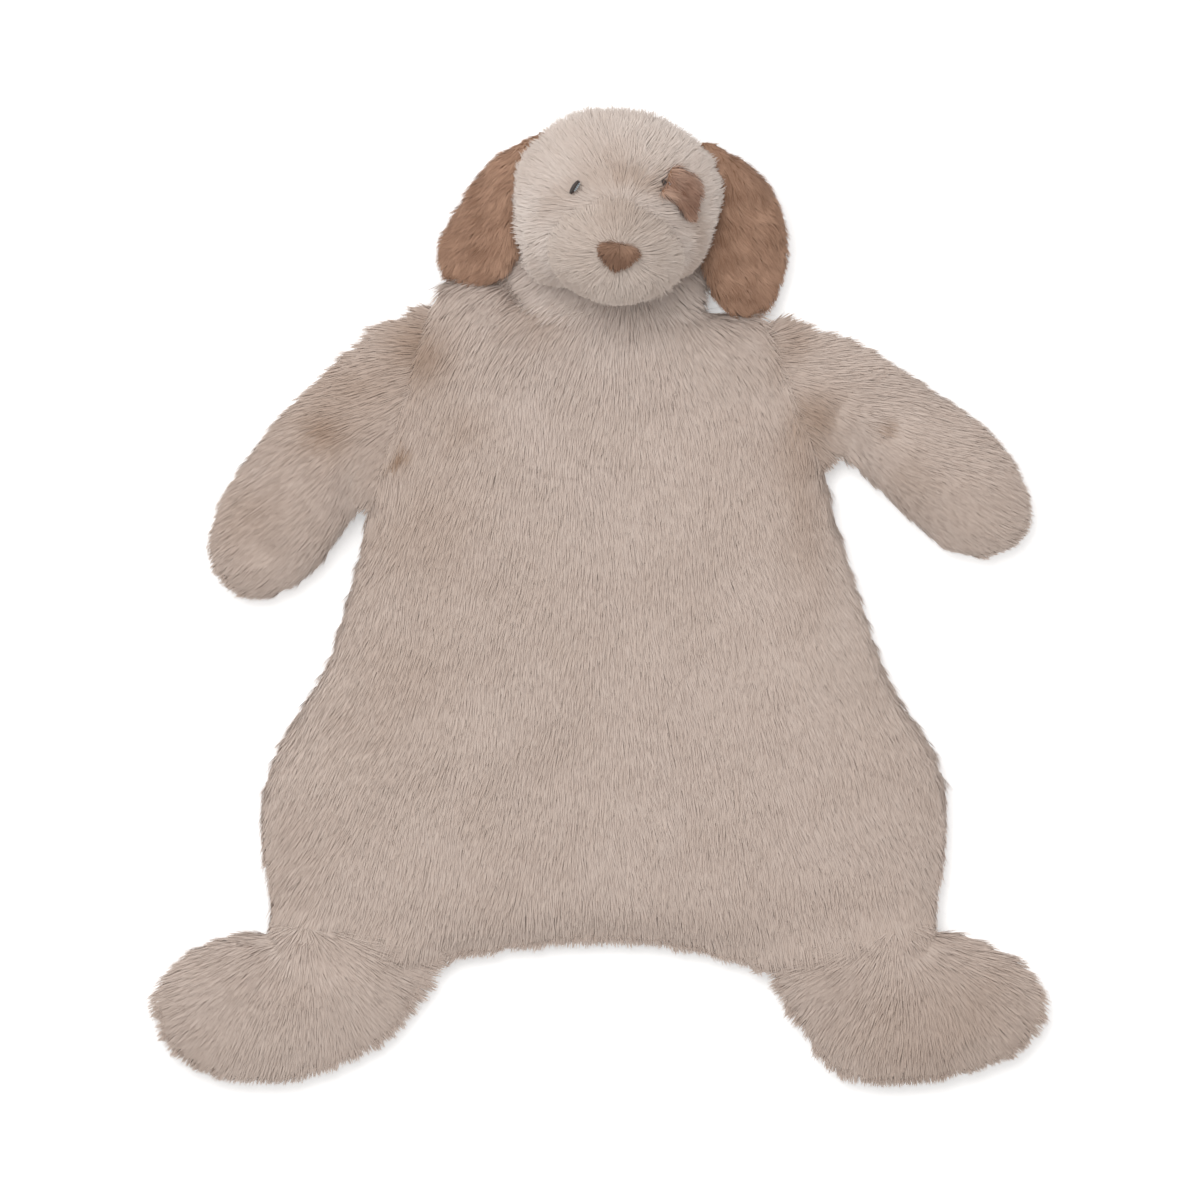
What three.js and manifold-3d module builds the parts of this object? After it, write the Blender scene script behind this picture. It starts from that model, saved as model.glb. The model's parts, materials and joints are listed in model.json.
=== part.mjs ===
// A flat plush comforter in the shape of a puppy: a stuffed head on a thin unstuffed body, with
// two lightly filled arms, two feet and hanging ears. It lies on its back in millimetres, with the
// crown towards +Y, the face towards +Z and the underside at Z 0. Left and right are the toy's own,
// so its left side lies at +X.

import * as THREE from 'three';
import { mergeVertices } from 'three/addons/utils/BufferGeometryUtils.js';
import Module from 'manifold-3d';

const wasm = await Module();
wasm.setup();

// Cloth and seams

// A plush wall is the backing cloth with its pile pressed down by the hand
const plushWall = 4.5;
// Sewn pieces keep this much air between them
const sewnGap = 0.3;
// Seams that fold keep a wider gap, and both sides taper to a thin lip there
const foldGap = 0.8;
const foldLip = 0.8;
const foldBevel = THREE.MathUtils.degToRad(44);
// A fold stays free a little past the armpit
const pastArmpit = 2;
// The weight of the toy presses its underside flat by this much
const pressedDepth = 0.5;
// Height of the edge seam that runs round the body and the limbs
const seamHeight = 7;
// Under the seam everything swells until it lies on the ground
const backSwell = seamHeight + pressedDepth;

// Body

const bodyLength = 176;
// The hem runs on under the feet and is cut along their seams
const hemUnderFoot = 3.2;
const hipHalfWidth = 91;
const bodyFrontSwell = 7.2;
const hemArch = 5.6;
const leftShoulderDrop = 5.8;
const rightShoulderDrop = 1.7;
// Furthest reach of the blocks that cut the panels apart
const overrun = 30;
const far = bodyLength + overrun;

// Arms and feet: how far each reaches out from its seam, and how much its front swells

const leftArmReach = 47;
const rightArmReach = 38.2;
const armFrontSwell = 10.5;
const leftFootReach = 37.6;
const rightFootReach = 39.8;
const footFrontSwell = 9.5;

// Head, neck and face

const headHalfWidth = 26.2;
const headHalfHeight = 23.6;
const headHalfDepth = 24;
const headSideways = 5.5;
const neckShow = 3.4;
const neckLeftHalfWidth = 20.5;
const neckRightHalfWidth = 26;
const neckLength = 12;
const neckFrontSwell = 6.4;

const muzzleHalfWidth = 17.8;
const muzzleHalfHeight = 14.2;
const muzzleHalfDepth = 19;
const muzzleSideways = -0.9;
const muzzleDrop = 12.8;
const muzzleForward = 13.5;
const bridgeHeight = 3.4;

const eyeHalfWidth = 1.7;
const eyeHalfHeight = 2.3;
const eyeRaise = 1.2;
const rightEyeSideways = -0.458 * headHalfWidth;
const leftEyeSideways = 0.527 * headHalfWidth;
const eyeHeight = 3.4;

const patchRaise = 1.6;
const patchLength = 16;
const patchWidth = 12;
const patchSideways = 0.603 * headHalfWidth;
const patchHeight = 1.2;

const noseWidth = 11.2;
const noseHeight = 8.4;
const noseRaise = 1.8;
const noseSideways = 0.8;
const noseDrop = 2.5;
const noseTilt = THREE.MathUtils.degToRad(-12);

// Ears

const earLength = 44;
const earWidth = 22;
const earSwell = 3.4;
const earRootHeight = 0.5;
const earRootGap = 0.5;
const leftEarRootAngle = THREE.MathUtils.degToRad(20);
const rightEarRootAngle = THREE.MathUtils.degToRad(30);
const leftEarHang = THREE.MathUtils.degToRad(24);
const rightEarHang = THREE.MathUtils.degToRad(25);
const earSideSlope = THREE.MathUtils.degToRad(20);
const earFlapDown = THREE.MathUtils.degToRad(15);
const earFlapUp = THREE.MathUtils.degToRad(80);
const earFlapSteps = 12;

// Across a section, from one edge to the other, closer together where the surface turns
const bodyAcrossShares = [1, 0.985, 0.93, 0.81, 0.62, 0.4, 0.2, 0];
const limbAcrossShares = [1, 0.93, 0.72, 0.39, 0];
const hollowAcrossShares = [1, 0.86, 0.5, 0];
const headAcrossShares = [1, 0.97, 0.87, 0.7, 0.45, 0.16];
const headHollowAcrossShares = [1, 0.92, 0.68, 0.25];
const bodySquareness = 9;
const limbSquareness = 2.6;
const earSquareness = 4;
const roundSquareness = 2;
const hollowEndSquareness = 3;

// Rows of the body from hem to neck: along the body, then out to its right and to its left
// as shares of the hip, then how full the section is
const bodyRowShares = [
  [0.0, 0.935, 0.955, 0.06],
  [0.012, 0.94, 0.961, 0.46],
  [0.032, 0.945, 0.969, 0.76],
  [0.065, 0.952, 0.977, 0.94],
  [0.12, 0.968, 0.989, 1],
  [0.2, 0.987, 1.006, 1],
  [0.26, 0.97, 1, 1],
  [0.32, 0.925, 0.962, 1],
  [0.38, 0.853, 0.884, 1],
  [0.44, 0.788, 0.827, 1],
  [0.5, 0.753, 0.787, 1],
  [0.56, 0.725, 0.755, 1],
  [0.62, 0.7, 0.715, 1],
  [0.69, 0.68, 0.69, 1],
  [0.76, 0.66, 0.667, 1],
  [0.86, 0.6, 0.6, 1],
  [0.93, 0.56, 0.545, 0.94],
  [0.967, 0.54, 0.525, 0.76],
  [0.988, 0.53, 0.515, 0.46],
  [1.0, 0.52, 0.51, 0.06],
];

// Ends of the four folding seams, across the body and along it
const leftShoulderShares = { upper: [0.47, 0.977], lower: [0.646, 0.757] };
const rightShoulderShares = { upper: [-0.476, 1.0], lower: [-0.6725, 0.689] };
const leftAnkleShares = { upper: [0.968, 0.037], lower: [0.435, -0.003] };
const rightAnkleShares = { upper: [-0.948, 0.04], lower: [-0.403, 0.003] };

// Outlines of the limbs from the seam to the tip: the upper or outer edge, then the lower or
// inner edge, each as shares of the reach and of the seam's length, then how full the row is
const leftArmShares = [
  [0.0, 0.49, 0.0, -0.49, 0.3],
  [0.16, 0.43, 0.12, -0.595, 0.62],
  [0.32, 0.247, 0.215, -0.75, 0.86],
  [0.505, 0.022, 0.35, -0.98, 0.98],
  [0.715, -0.345, 0.425, -1.185, 1],
  [0.937, -0.72, 0.49, -1.32, 1],
  [1.0, -1.02, 0.62, -1.425, 0.95],
  [0.972, -1.28, 0.765, -1.455, 0.72],
  [0.887, -1.405, 0.887, -1.405, 0],
];
const rightArmShares = [
  [0.0, 0.48, 0.0, -0.49, 0.3],
  [0.245, 0.372, 0.095, -0.567, 0.62],
  [0.475, 0.15, 0.17, -0.652, 0.86],
  [0.665, -0.078, 0.222, -0.765, 0.98],
  [0.825, -0.305, 0.268, -0.87, 1],
  [0.928, -0.52, 0.368, -0.975, 1],
  [1.0, -0.735, 0.515, -1.045, 0.95],
  [0.953, -0.912, 0.711, -1.055, 0.72],
  [0.853, -1.013, 0.853, -1.013, 0],
];
const leftFootShares = [
  [0.0, 0.5, 0.0, -0.49, 0.3],
  [0.09, 0.675, 0.106, -0.45, 0.62],
  [0.207, 0.86, 0.23, -0.373, 0.86],
  [0.36, 1.02, 0.384, -0.324, 0.97],
  [0.503, 1.068, 0.545, -0.252, 1],
  [0.65, 1.062, 0.7, -0.207, 1],
  [0.772, 1.013, 0.854, -0.118, 0.96],
  [0.886, 0.885, 0.946, -0.018, 0.86],
  [0.968, 0.618, 0.986, 0.16, 0.62],
  [1.0, 0.388, 1.0, 0.388, 0],
];
const rightFootShares = [
  [0.0, 0.5, 0.0, -0.49, 0.3],
  [0.085, 0.69, 0.1, -0.42, 0.62],
  [0.213, 0.91, 0.24, -0.35, 0.86],
  [0.35, 1.03, 0.394, -0.294, 0.97],
  [0.485, 1.1, 0.548, -0.2, 1],
  [0.622, 1.104, 0.696, -0.056, 1],
  [0.737, 1.068, 0.852, 0.118, 0.96],
  [0.85, 0.963, 0.944, 0.288, 0.86],
  [0.957, 0.83, 0.985, 0.457, 0.62],
  [1.0, 0.64, 1.0, 0.64, 0],
];

// Ears from the top of the root to the tip: the outer edge, then the inner edge, each as shares
// of the ear's length and width, then how full the row is
const leftEarShares = [
  [-0.16, 0.07, -0.16, 0.07, 0],
  [-0.07, 0.2, -0.08, 0.08, 0.5],
  [0.04, 0.365, 0.0, 0.0, 0.78],
  [0.18, 0.5, 0.1, -0.06, 0.95],
  [0.33, 0.575, 0.22, -0.18, 1],
  [0.5, 0.575, 0.37, -0.35, 1],
  [0.655, 0.515, 0.53, -0.465, 1],
  [0.795, 0.395, 0.68, -0.49, 0.97],
  [0.92, 0.24, 0.81, -0.45, 0.86],
  [0.98, 0.06, 0.91, -0.36, 0.6],
  [0.975, -0.17, 0.975, -0.17, 0],
];
const rightEarShares = [
  [-0.15, 0.1, -0.15, 0.1, 0],
  [-0.02, 0.215, -0.06, 0.07, 0.5],
  [0.13, 0.345, 0.06, 0.0, 0.78],
  [0.285, 0.41, 0.18, -0.08, 0.95],
  [0.445, 0.43, 0.29, -0.2, 1],
  [0.635, 0.42, 0.39, -0.32, 1],
  [0.825, 0.405, 0.5, -0.45, 1],
  [0.93, 0.33, 0.61, -0.55, 0.97],
  [0.975, 0.2, 0.7, -0.535, 0.86],
  [0.985, 0.05, 0.81, -0.47, 0.6],
  [0.945, -0.26, 0.945, -0.26, 0],
];

// The ball of the head from chin to crown: along its height, then its width
const headRowShares = [
  [0.03, 0.31],
  [0.1, 0.58],
  [0.2, 0.79],
  [0.34, 0.95],
  [0.5, 1],
  [0.66, 0.955],
  [0.8, 0.81],
  [0.9, 0.62],
  [0.97, 0.35],
];
const headHollowRowShares = [
  [0.06, 0.46],
  [0.2, 0.79],
  [0.42, 0.985],
  [0.62, 0.97],
  [0.82, 0.77],
  [0.95, 0.43],
];

// The neck from its fold to the head: along, out to each side, then how full
const neckRowShares = [
  [0.0, 1, 0.5],
  [0.25, 0.98, 0.9],
  [0.6, 0.94, 1],
  [1.0, 0.84, 1],
];

// Outline of the eye patch across and along, and the nose with its point down
const patchOutlineShares = [
  [-0.5, 0.02],
  [-0.3, 0.12],
  [-0.2, 0.5],
  [0.2, 0.38],
  [0.48, 0.2],
  [0.42, -0.12],
  [0.22, -0.5],
  [-0.02, -0.18],
  [-0.26, -0.1],
];
const noseOutlineShares = [
  [-0.5, 0.3],
  [-0.2, 0.46],
  [0.2, 0.46],
  [0.5, 0.3],
  [0.42, -0.05],
  [0.14, -0.48],
  [-0.14, -0.48],
  [-0.42, -0.05],
];

// Where the inside of a limb begins and ends between its seam and its tip, and its pointed ends
const hollowStartShare = 0.26;
const hollowEndShare = 0.93;
const hollowPointShare = 0.022;
// The top edge of the body begins and ends its drop beside the neck
const dropStartShare = 0.5;
const dropEndShare = 0.72;

const limbRowCount = 10;
const hollowRowCount = 6;
const patchOutlinePoints = 16;
const eyeOutlinePoints = 10;
const muzzleSides = 20;
const muzzleRings = 11;
const muzzleHollowSides = 12;
const muzzleHollowRings = 7;
const sweepSides = 24;

// Solids

function solidOf(geometry) {
  const bare = geometry.clone();
  bare.deleteAttribute('normal');
  bare.deleteAttribute('uv');
  const merged = mergeVertices(bare);
  return new wasm.Manifold(new wasm.Mesh({
    numProp: 3,
    vertProperties: new Float32Array(merged.attributes.position.array),
    triVerts: new Uint32Array(merged.index.array),
  }));
}

function meshOf(name, solid, material) {
  const { vertProperties, triVerts } = solid.getMesh();
  const geometry = new THREE.BufferGeometry();
  geometry.setAttribute('position', new THREE.BufferAttribute(vertProperties, 3));
  geometry.setIndex(new THREE.BufferAttribute(triVerts, 1));
  geometry.computeVertexNormals();
  const mesh = new THREE.Mesh(geometry, material);
  mesh.name = name;
  return mesh;
}

function placed(geometry, matrix) {
  return geometry.clone().applyMatrix4(matrix);
}

function shifted(geometry, x, y, z) {
  return geometry.clone().translate(x, y, z);
}

// A block from its lowest corner to its highest
function block(low, high) {
  const size = high.clone().sub(low);
  const middle = low.clone().add(high).multiplyScalar(1 / 2);
  return solidOf(shifted(new THREE.BoxGeometry(...size), ...middle));
}

function pressedFlat(solid, groundLevel) {
  const low = new THREE.Vector3(-far, -far, groundLevel - overrun);
  return solid.subtract(block(low, new THREE.Vector3(far, far, groundLevel)));
}

// The front and back panels that meet at a seam plane, with the sewn gap between them
function frontAndBack(solid, level = 0) {
  const low = new THREE.Vector3(-far, -far, level - far);
  const high = new THREE.Vector3(far, far, level + far);
  const below = block(low, new THREE.Vector3(far, far, level + sewnGap / 2));
  const above = block(new THREE.Vector3(-far, -far, level - sewnGap / 2), high);
  return [solid.subtract(below), solid.subtract(above)];
}

// Mirrored shares for both halves of a section, from the left edge to the right one
function acrossBoth(halfShares) {
  const left = halfShares.filter((share) => share > 0);
  const right = halfShares.map((share) => -share).reverse();
  return [...left, ...right].map((share) => -share);
}

// A stuffed form: rows of sections that swell to the front and back of the seam plane.
// A row has the points of its two edges, how full it is, and how far a place across it shifts.
// A form closes in a point where tips are given, and otherwise in a thin flat end.
function stuffedForm(rows, across, squareness, frontSwell, backSwell, tips = {}) {
  const points = [];
  const faces = [];
  const count = across.length;
  const ringSize = 2 * count - 2;
  for (const row of rows) {
    const section = across.map((share) => {
      const place = row.left.clone().lerp(row.right, (share + 1) / 2);
      if (row.shift) place.y += row.shift(share);
      const rise = row.fullness * Math.sqrt(1 - Math.abs(share) ** squareness);
      return { place, rise };
    });
    for (const { place, rise } of section) {
      points.push([place.x, place.y, place.z + frontSwell * rise]);
    }
    for (const { place, rise } of section.slice(1, -1).reverse()) {
      points.push([place.x, place.y, place.z - backSwell * rise]);
    }
  }
  for (let row = 0; row + 1 < rows.length; row += 1) {
    for (let i = 0; i < ringSize; i += 1) {
      const a = row * ringSize + i;
      const b = row * ringSize + ((i + 1) % ringSize);
      faces.push([a, b, b + ringSize], [a, b + ringSize, a + ringSize]);
    }
  }
  closeEnd(points, faces, 0, count, tips.first, true);
  closeEnd(points, faces, (rows.length - 1) * ringSize, count, tips.last, false);
  return outwardGeometry(points, faces);
}

function closeEnd(points, faces, start, count, tip, turned) {
  const ringSize = 2 * count - 2;
  const add = (a, b, c) => faces.push(turned ? [a, c, b] : [a, b, c]);
  if (tip) {
    points.push([tip.x, tip.y, tip.z]);
    const last = points.length - 1;
    for (let i = 0; i < ringSize; i += 1) add(start + i, start + ((i + 1) % ringSize), last);
    return;
  }
  const back = (i) => start + ((ringSize - i) % ringSize);
  for (let i = 0; i + 1 < count; i += 1) {
    if (i > 0) add(start + i, start + i + 1, back(i));
    if (i + 2 < count) add(start + i + 1, back(i + 1), back(i));
  }
}

// Faces that enclose a negative volume point inwards, so they are turned round
function outwardGeometry(points, faces) {
  const corner = points.map((point) => new THREE.Vector3(...point));
  const volume = faces.reduce(
    (sum, [a, b, c]) => sum + corner[a].dot(corner[b].clone().cross(corner[c])),
    0,
  );
  const turned = volume < 0 ? faces.map(([a, b, c]) => [a, c, b]) : faces;
  const geometry = new THREE.BufferGeometry();
  geometry.setAttribute('position', new THREE.Float32BufferAttribute(points.flat(), 3));
  geometry.setIndex(turned.flat());
  return geometry;
}

function smoothLine(points) {
  return new THREE.CatmullRomCurve3(points, false, 'catmullrom');
}

// Smooth curves through the edges of a limb, read at a share of the way from seam to tip
function limbShape(outlineShares, reach, seamLength, side, standoff) {
  const edge = (along, across) => smoothLine(outlineShares.map((row) => new THREE.Vector3(
    standoff + row[along] * reach,
    side * row[across] * seamLength,
    0,
  )));
  const first = edge(0, 1);
  const second = edge(2, 3);
  const fullness = smoothLine(outlineShares.map((row) => new THREE.Vector3(row[4], 0, 0)));
  return (share) => ({
    left: first.getPoint(share),
    right: second.getPoint(share),
    fullness: Math.max(fullness.getPoint(share).x, 0),
  });
}

// Rows of a limb's outside, closer together near its tip
function outsideRows(shape, count, firstShare) {
  const rows = [];
  for (let i = 0; i < count; i += 1) {
    rows.push(shape(firstShare + (1 - firstShare) * Math.sin((i / count) * (Math.PI / 2))));
  }
  return rows;
}

// The hollow of a limb, or what fills it: the outside drawn in by a wall and rounded at its ends
function insideForm(shape, wall, frontSwell, backSwell) {
  const rowAt = (share) => {
    const through = hollowStartShare + (hollowEndShare - hollowStartShare) * share;
    const outer = shape(through);
    const rounded = Math.sqrt(1 - Math.abs(2 * share - 1) ** hollowEndSquareness);
    const middle = outer.left.clone().lerp(outer.right, 1 / 2);
    const half = outer.right.clone().sub(outer.left).multiplyScalar(1 / 2);
    half.setLength((half.length() - wall) * rounded);
    return {
      left: middle.clone().sub(half),
      right: middle.clone().add(half),
      fullness: outer.fullness * rounded,
    };
  };
  const rows = [];
  for (let i = 1; i < hollowRowCount; i += 1) rows.push(rowAt(i / hollowRowCount));
  const tipAt = (share) => {
    const outer = shape(share);
    return outer.left.clone().lerp(outer.right, 1 / 2);
  };
  const tips = {
    first: tipAt(hollowStartShare + hollowPointShare),
    last: tipAt(hollowEndShare - hollowPointShare),
  };
  const across = acrossBoth(hollowAcrossShares);
  return solidOf(stuffedForm(
    rows, across, limbSquareness, frontSwell - wall, backSwell - wall, tips,
  ));
}

// What a folding seam leaves free beside it, in the seam's frame: all that lies past the seam,
// and a bevel above and below the lip on the side that stays. It runs from a start to an end
// along the seam.
function foldCutter(side, start = -far, end = far) {
  const rise = foldLip / 2 + far * Math.tan(foldBevel);
  const section = new THREE.Shape();
  section.moveTo(-side * foldGap / 2, -foldLip / 2);
  section.lineTo(-side * foldGap / 2, foldLip / 2);
  section.lineTo(-side * (foldGap / 2 + far), rise);
  section.lineTo(side * far, rise);
  section.lineTo(side * far, -rise);
  section.lineTo(-side * (foldGap / 2 + far), -rise);
  section.closePath();
  const prism = new THREE.ExtrudeGeometry(section, { depth: end - start, bevelEnabled: false });
  return prism.translate(0, 0, -end).rotateX(Math.PI / 2);
}

// Materials

function cloth(colour, roughness = 0.95) {
  return new THREE.MeshStandardMaterial({ color: colour, roughness, metalness: 0 });
}

const bodyColour = '#baa99e';
const headColour = '#c6b7ad';
const muzzleColour = '#bdaca1';
const earColour = '#98775f';
const patchColour = '#967b6b';
const noseColour = '#7d6454';
const threadColour = '#2b2622';
const fillingColour = '#f1efea';

// Frames of the folding seams: the origin is the seam's middle, X points out of the body,
// Y runs along the seam and Z points to the front

function bodyPoint([acrossShare, alongShare]) {
  return new THREE.Vector3(acrossShare * hipHalfWidth, alongShare * bodyLength, 0);
}

function seamFrame({ upper, lower }, side) {
  const start = bodyPoint(lower);
  const end = bodyPoint(upper);
  const along = end.clone().sub(start).normalize();
  const angle = Math.atan2(-side * along.x, side * along.y);
  return {
    middle: start.clone().lerp(end, 1 / 2),
    length: start.distanceTo(end),
    angle,
    matrix: new THREE.Matrix4().makeRotationZ(angle).setPosition(start.clone().lerp(end, 1 / 2)),
  };
}

const leftShoulder = seamFrame(leftShoulderShares, 1);
const rightShoulder = seamFrame(rightShoulderShares, -1);
const leftAnkle = seamFrame(leftAnkleShares, 1);
const rightAnkle = seamFrame(rightAnkleShares, -1);

// Body: two plush panels sewn together round the edge, with nothing between them

function ankleLine(frame, x) {
  return frame.middle.y + Math.tan(frame.angle + Math.PI / 2) * (x - frame.middle.x);
}

// How far a place on the hem lies from the straight row: it dips past the ankle seams and
// arches up between them
function hemShift(share) {
  const ankle = share < 0 ? rightAnkle : leftAnkle;
  const [innerShare] = (share < 0 ? rightAnkleShares : leftAnkleShares).lower;
  const outwards = share / innerShare;
  if (outwards > 1) return ankleLine(ankle, share * hipHalfWidth) - hemUnderFoot;
  return hemArch * (1 - outwards ** 2);
}

// The top edge drops beside the neck on each side
function shoulderShift(share) {
  const drop = share > 0 ? leftShoulderDrop : rightShoulderDrop;
  const dropped = THREE.MathUtils.smoothstep(Math.abs(share), dropStartShare, dropEndShare);
  return -foldGap / 2 - drop * dropped;
}

function bodyPanels() {
  const rows = bodyRowShares.map(([along, right, left, fullness]) => ({
    left: new THREE.Vector3(-right * hipHalfWidth, along * bodyLength, 0),
    right: new THREE.Vector3(left * hipHalfWidth, along * bodyLength, 0),
    fullness,
    shift: (share) => hemShift(share) * (1 - along) + shoulderShift(share) * along,
  }));
  const across = acrossBoth(bodyAcrossShares);
  let body = solidOf(stuffedForm(rows, across, bodySquareness, bodyFrontSwell, backSwell));
  const leftArmpit = leftShoulder.length / 2 + pastArmpit;
  const rightArmpit = rightShoulder.length / 2 + pastArmpit;
  const cutters = [
    placed(foldCutter(1, -leftArmpit, far), leftShoulder.matrix),
    placed(foldCutter(1, -far, rightArmpit), rightShoulder.matrix),
    placed(foldCutter(1), leftAnkle.matrix),
    placed(foldCutter(1), rightAnkle.matrix),
  ];
  for (const cutter of cutters) body = body.subtract(solidOf(cutter));
  const neckFold = new THREE.Matrix4().makeRotationZ(Math.PI / 2).setPosition(0, bodyLength, 0);
  body = body.subtract(solidOf(placed(foldCutter(1), neckFold)));
  return frontAndBack(pressedFlat(body, -seamHeight));
}

const bodyGroup = new THREE.Group();
bodyGroup.position.z = seamHeight;
const [bodyFront, bodyBack] = bodyPanels();
bodyGroup.add(
  meshOf('body_front_panel', bodyFront, cloth(bodyColour)),
  meshOf('body_back_panel', bodyBack, cloth(bodyColour)),
);

// Arms and feet: a front and a back panel of plush round a light filling, sewn on at one seam

function limb(name, frame, side, outlineShares, reach, frontSwell) {
  const shape = limbShape(outlineShares, reach, frame.length, side, foldGap / 2);
  const across = acrossBoth(limbAcrossShares);
  const outside = stuffedForm(
    outsideRows(shape, limbRowCount, 0), across, limbSquareness, frontSwell, backSwell,
    { last: shape(1).left },
  );
  const hollow = insideForm(shape, plushWall, frontSwell, backSwell);
  const trimmed = solidOf(outside).subtract(solidOf(foldCutter(-1))).subtract(hollow);
  const [front, back] = frontAndBack(pressedFlat(trimmed, -seamHeight));
  const filling = insideForm(shape, plushWall + sewnGap, frontSwell, backSwell);
  const group = new THREE.Group();
  group.position.copy(frame.middle);
  group.rotation.z = frame.angle;
  group.add(
    meshOf(`${name}_front_panel`, front, cloth(bodyColour)),
    meshOf(`${name}_back_panel`, back, cloth(bodyColour)),
    meshOf(`${name}_filling`, filling, cloth(fillingColour)),
  );
  return group;
}

bodyGroup.add(
  limb('left_arm', leftShoulder, 1, leftArmShares, leftArmReach, armFrontSwell),
  limb('right_arm', rightShoulder, -1, rightArmShares, rightArmReach, armFrontSwell),
  limb('left_foot', leftAnkle, 1, leftFootShares, leftFootReach, footFrontSwell),
  limb('right_foot', rightAnkle, -1, rightFootShares, rightFootReach, footFrontSwell),
);

// Head: a ball of four panels round one filling, which also fills the muzzle.
// Its frame has its origin at the middle of the ball.

function ballForm(rowShares, acrossShares, grown) {
  const halfHeight = headHalfHeight + grown;
  const rows = rowShares.map(([along, width]) => {
    const y = (2 * along - 1) * halfHeight;
    const half = width * (headHalfWidth + grown);
    return {
      left: new THREE.Vector3(-half, y, 0),
      right: new THREE.Vector3(half, y, 0),
      fullness: width,
    };
  });
  const across = acrossBoth(acrossShares);
  const swell = headHalfDepth + grown;
  return stuffedForm(rows, across, roundSquareness, swell, swell, {
    first: new THREE.Vector3(0, -halfHeight, 0),
    last: new THREE.Vector3(0, halfHeight, 0),
  });
}

function headForm(grown) {
  return ballForm(headRowShares, headAcrossShares, grown);
}

function muzzleForm(grown, sides = muzzleSides, rings = muzzleRings) {
  const halfWidth = muzzleHalfWidth + grown;
  const ball = new THREE.SphereGeometry(halfWidth, sides, rings);
  ball.scale(1, (muzzleHalfHeight + grown) / halfWidth, (muzzleHalfDepth + grown) / halfWidth);
  return ball.translate(muzzleSideways, -muzzleDrop, muzzleForward);
}

// The inside of the head or of the muzzle, drawn in by a wall
function headInside(wall) {
  return solidOf(ballForm(headHollowRowShares, headHollowAcrossShares, -wall));
}

function muzzleInside(wall) {
  return solidOf(muzzleForm(-wall, muzzleHollowSides, muzzleHollowRings));
}

// A raised piece with a given outline, sewn on the front of a rounded form above a level
function sewnOn(formAt, outline, level, base, raise) {
  const column = new THREE.ExtrudeGeometry(outline, { depth: far, bevelEnabled: false });
  column.translate(0, 0, level);
  return solidOf(formAt(base + raise)).subtract(solidOf(formAt(base))).intersect(solidOf(column));
}

function closedOutline(points, count) {
  const curve = new THREE.SplineCurve([...points, points[0]]);
  return new THREE.Shape(curve.getPoints(count).slice(0, -1));
}

function outlineFrom(shares, width, height, middleX, middleY, turn = 0) {
  const middle = new THREE.Vector2(middleX, middleY);
  const points = shares.map(([across, along]) => new THREE.Vector2(across * width, along * height)
    .rotateAround(new THREE.Vector2(), turn)
    .add(middle));
  return closedOutline(points, patchOutlinePoints);
}

function eyeOutline(sideways) {
  const oval = new THREE.EllipseCurve(sideways, eyeHeight, eyeHalfWidth, eyeHalfHeight);
  return new THREE.Shape(oval.getPoints(eyeOutlinePoints).slice(0, -1));
}

const headGroup = new THREE.Group();
headGroup.position.set(
  headSideways,
  bodyLength + neckShow + headHalfHeight,
  headHalfDepth - pressedDepth - seamHeight,
);

function buildHead() {
  const groundLevel = pressedDepth - headHalfDepth;
  const skin = solidOf(headForm(0))
    .subtract(headInside(plushWall))
    .subtract(muzzleInside(plushWall));
  const [front, back] = frontAndBack(pressedFlat(skin, groundLevel));

  const reach = new THREE.Vector3(far, far, far);
  const crownSide = block(new THREE.Vector3(-far, bridgeHeight - sewnGap / 2, -far), reach);
  const faceSide = block(
    new THREE.Vector3(-far, -far, -far),
    new THREE.Vector3(far, bridgeHeight + sewnGap / 2, far),
  );
  const leftOfChin = block(new THREE.Vector3(-sewnGap / 2, -far, -far), reach);
  const rightOfChin = block(
    new THREE.Vector3(-far, -far, -far),
    new THREE.Vector3(sewnGap / 2, far, far),
  );
  const cheeks = front.subtract(crownSide);

  const muzzle = solidOf(muzzleForm(0))
    .subtract(muzzleInside(plushWall))
    .subtract(solidOf(headForm(sewnGap)));
  const filling = headInside(plushWall + sewnGap).add(muzzleInside(plushWall + sewnGap));

  const patch = sewnOn(
    headForm,
    outlineFrom(patchOutlineShares, patchWidth, patchLength, patchSideways, patchHeight),
    0,
    sewnGap,
    patchRaise,
  ).subtract(solidOf(muzzleForm(sewnGap)));
  const nose = sewnOn(
    muzzleForm,
    outlineFrom(
      noseOutlineShares, noseWidth, noseHeight,
      muzzleSideways + noseSideways, -muzzleDrop - noseDrop, noseTilt,
    ),
    muzzleForward,
    sewnGap,
    noseRaise,
  );
  const rightEye = sewnOn(headForm, eyeOutline(rightEyeSideways), 0, sewnGap, eyeRaise);
  const overPatch = 2 * sewnGap + patchRaise;
  const leftEye = sewnOn(headForm, eyeOutline(leftEyeSideways), 0, overPatch, eyeRaise);

  headGroup.add(
    meshOf('forehead_panel', front.subtract(faceSide), cloth(headColour)),
    meshOf('left_cheek_panel', cheeks.subtract(rightOfChin), cloth(headColour)),
    meshOf('right_cheek_panel', cheeks.subtract(leftOfChin), cloth(headColour)),
    meshOf('head_back_panel', back, cloth(headColour)),
    meshOf('muzzle_panel', muzzle, cloth(muzzleColour)),
    meshOf('head_filling', filling, cloth(fillingColour)),
    meshOf('eye_patch', patch, cloth(patchColour)),
    meshOf('nose', nose, cloth(noseColour, 0.8)),
    meshOf('right_eye', rightEye, cloth(threadColour, 0.4)),
    meshOf('left_eye', leftEye, cloth(threadColour, 0.4)),
  );
}

buildHead();
bodyGroup.add(headGroup);

// Neck: a short padded sleeve under the chin. The head turns on it about its own upright
// middle, so the neck is hollowed by the round that the head sweeps.

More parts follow.
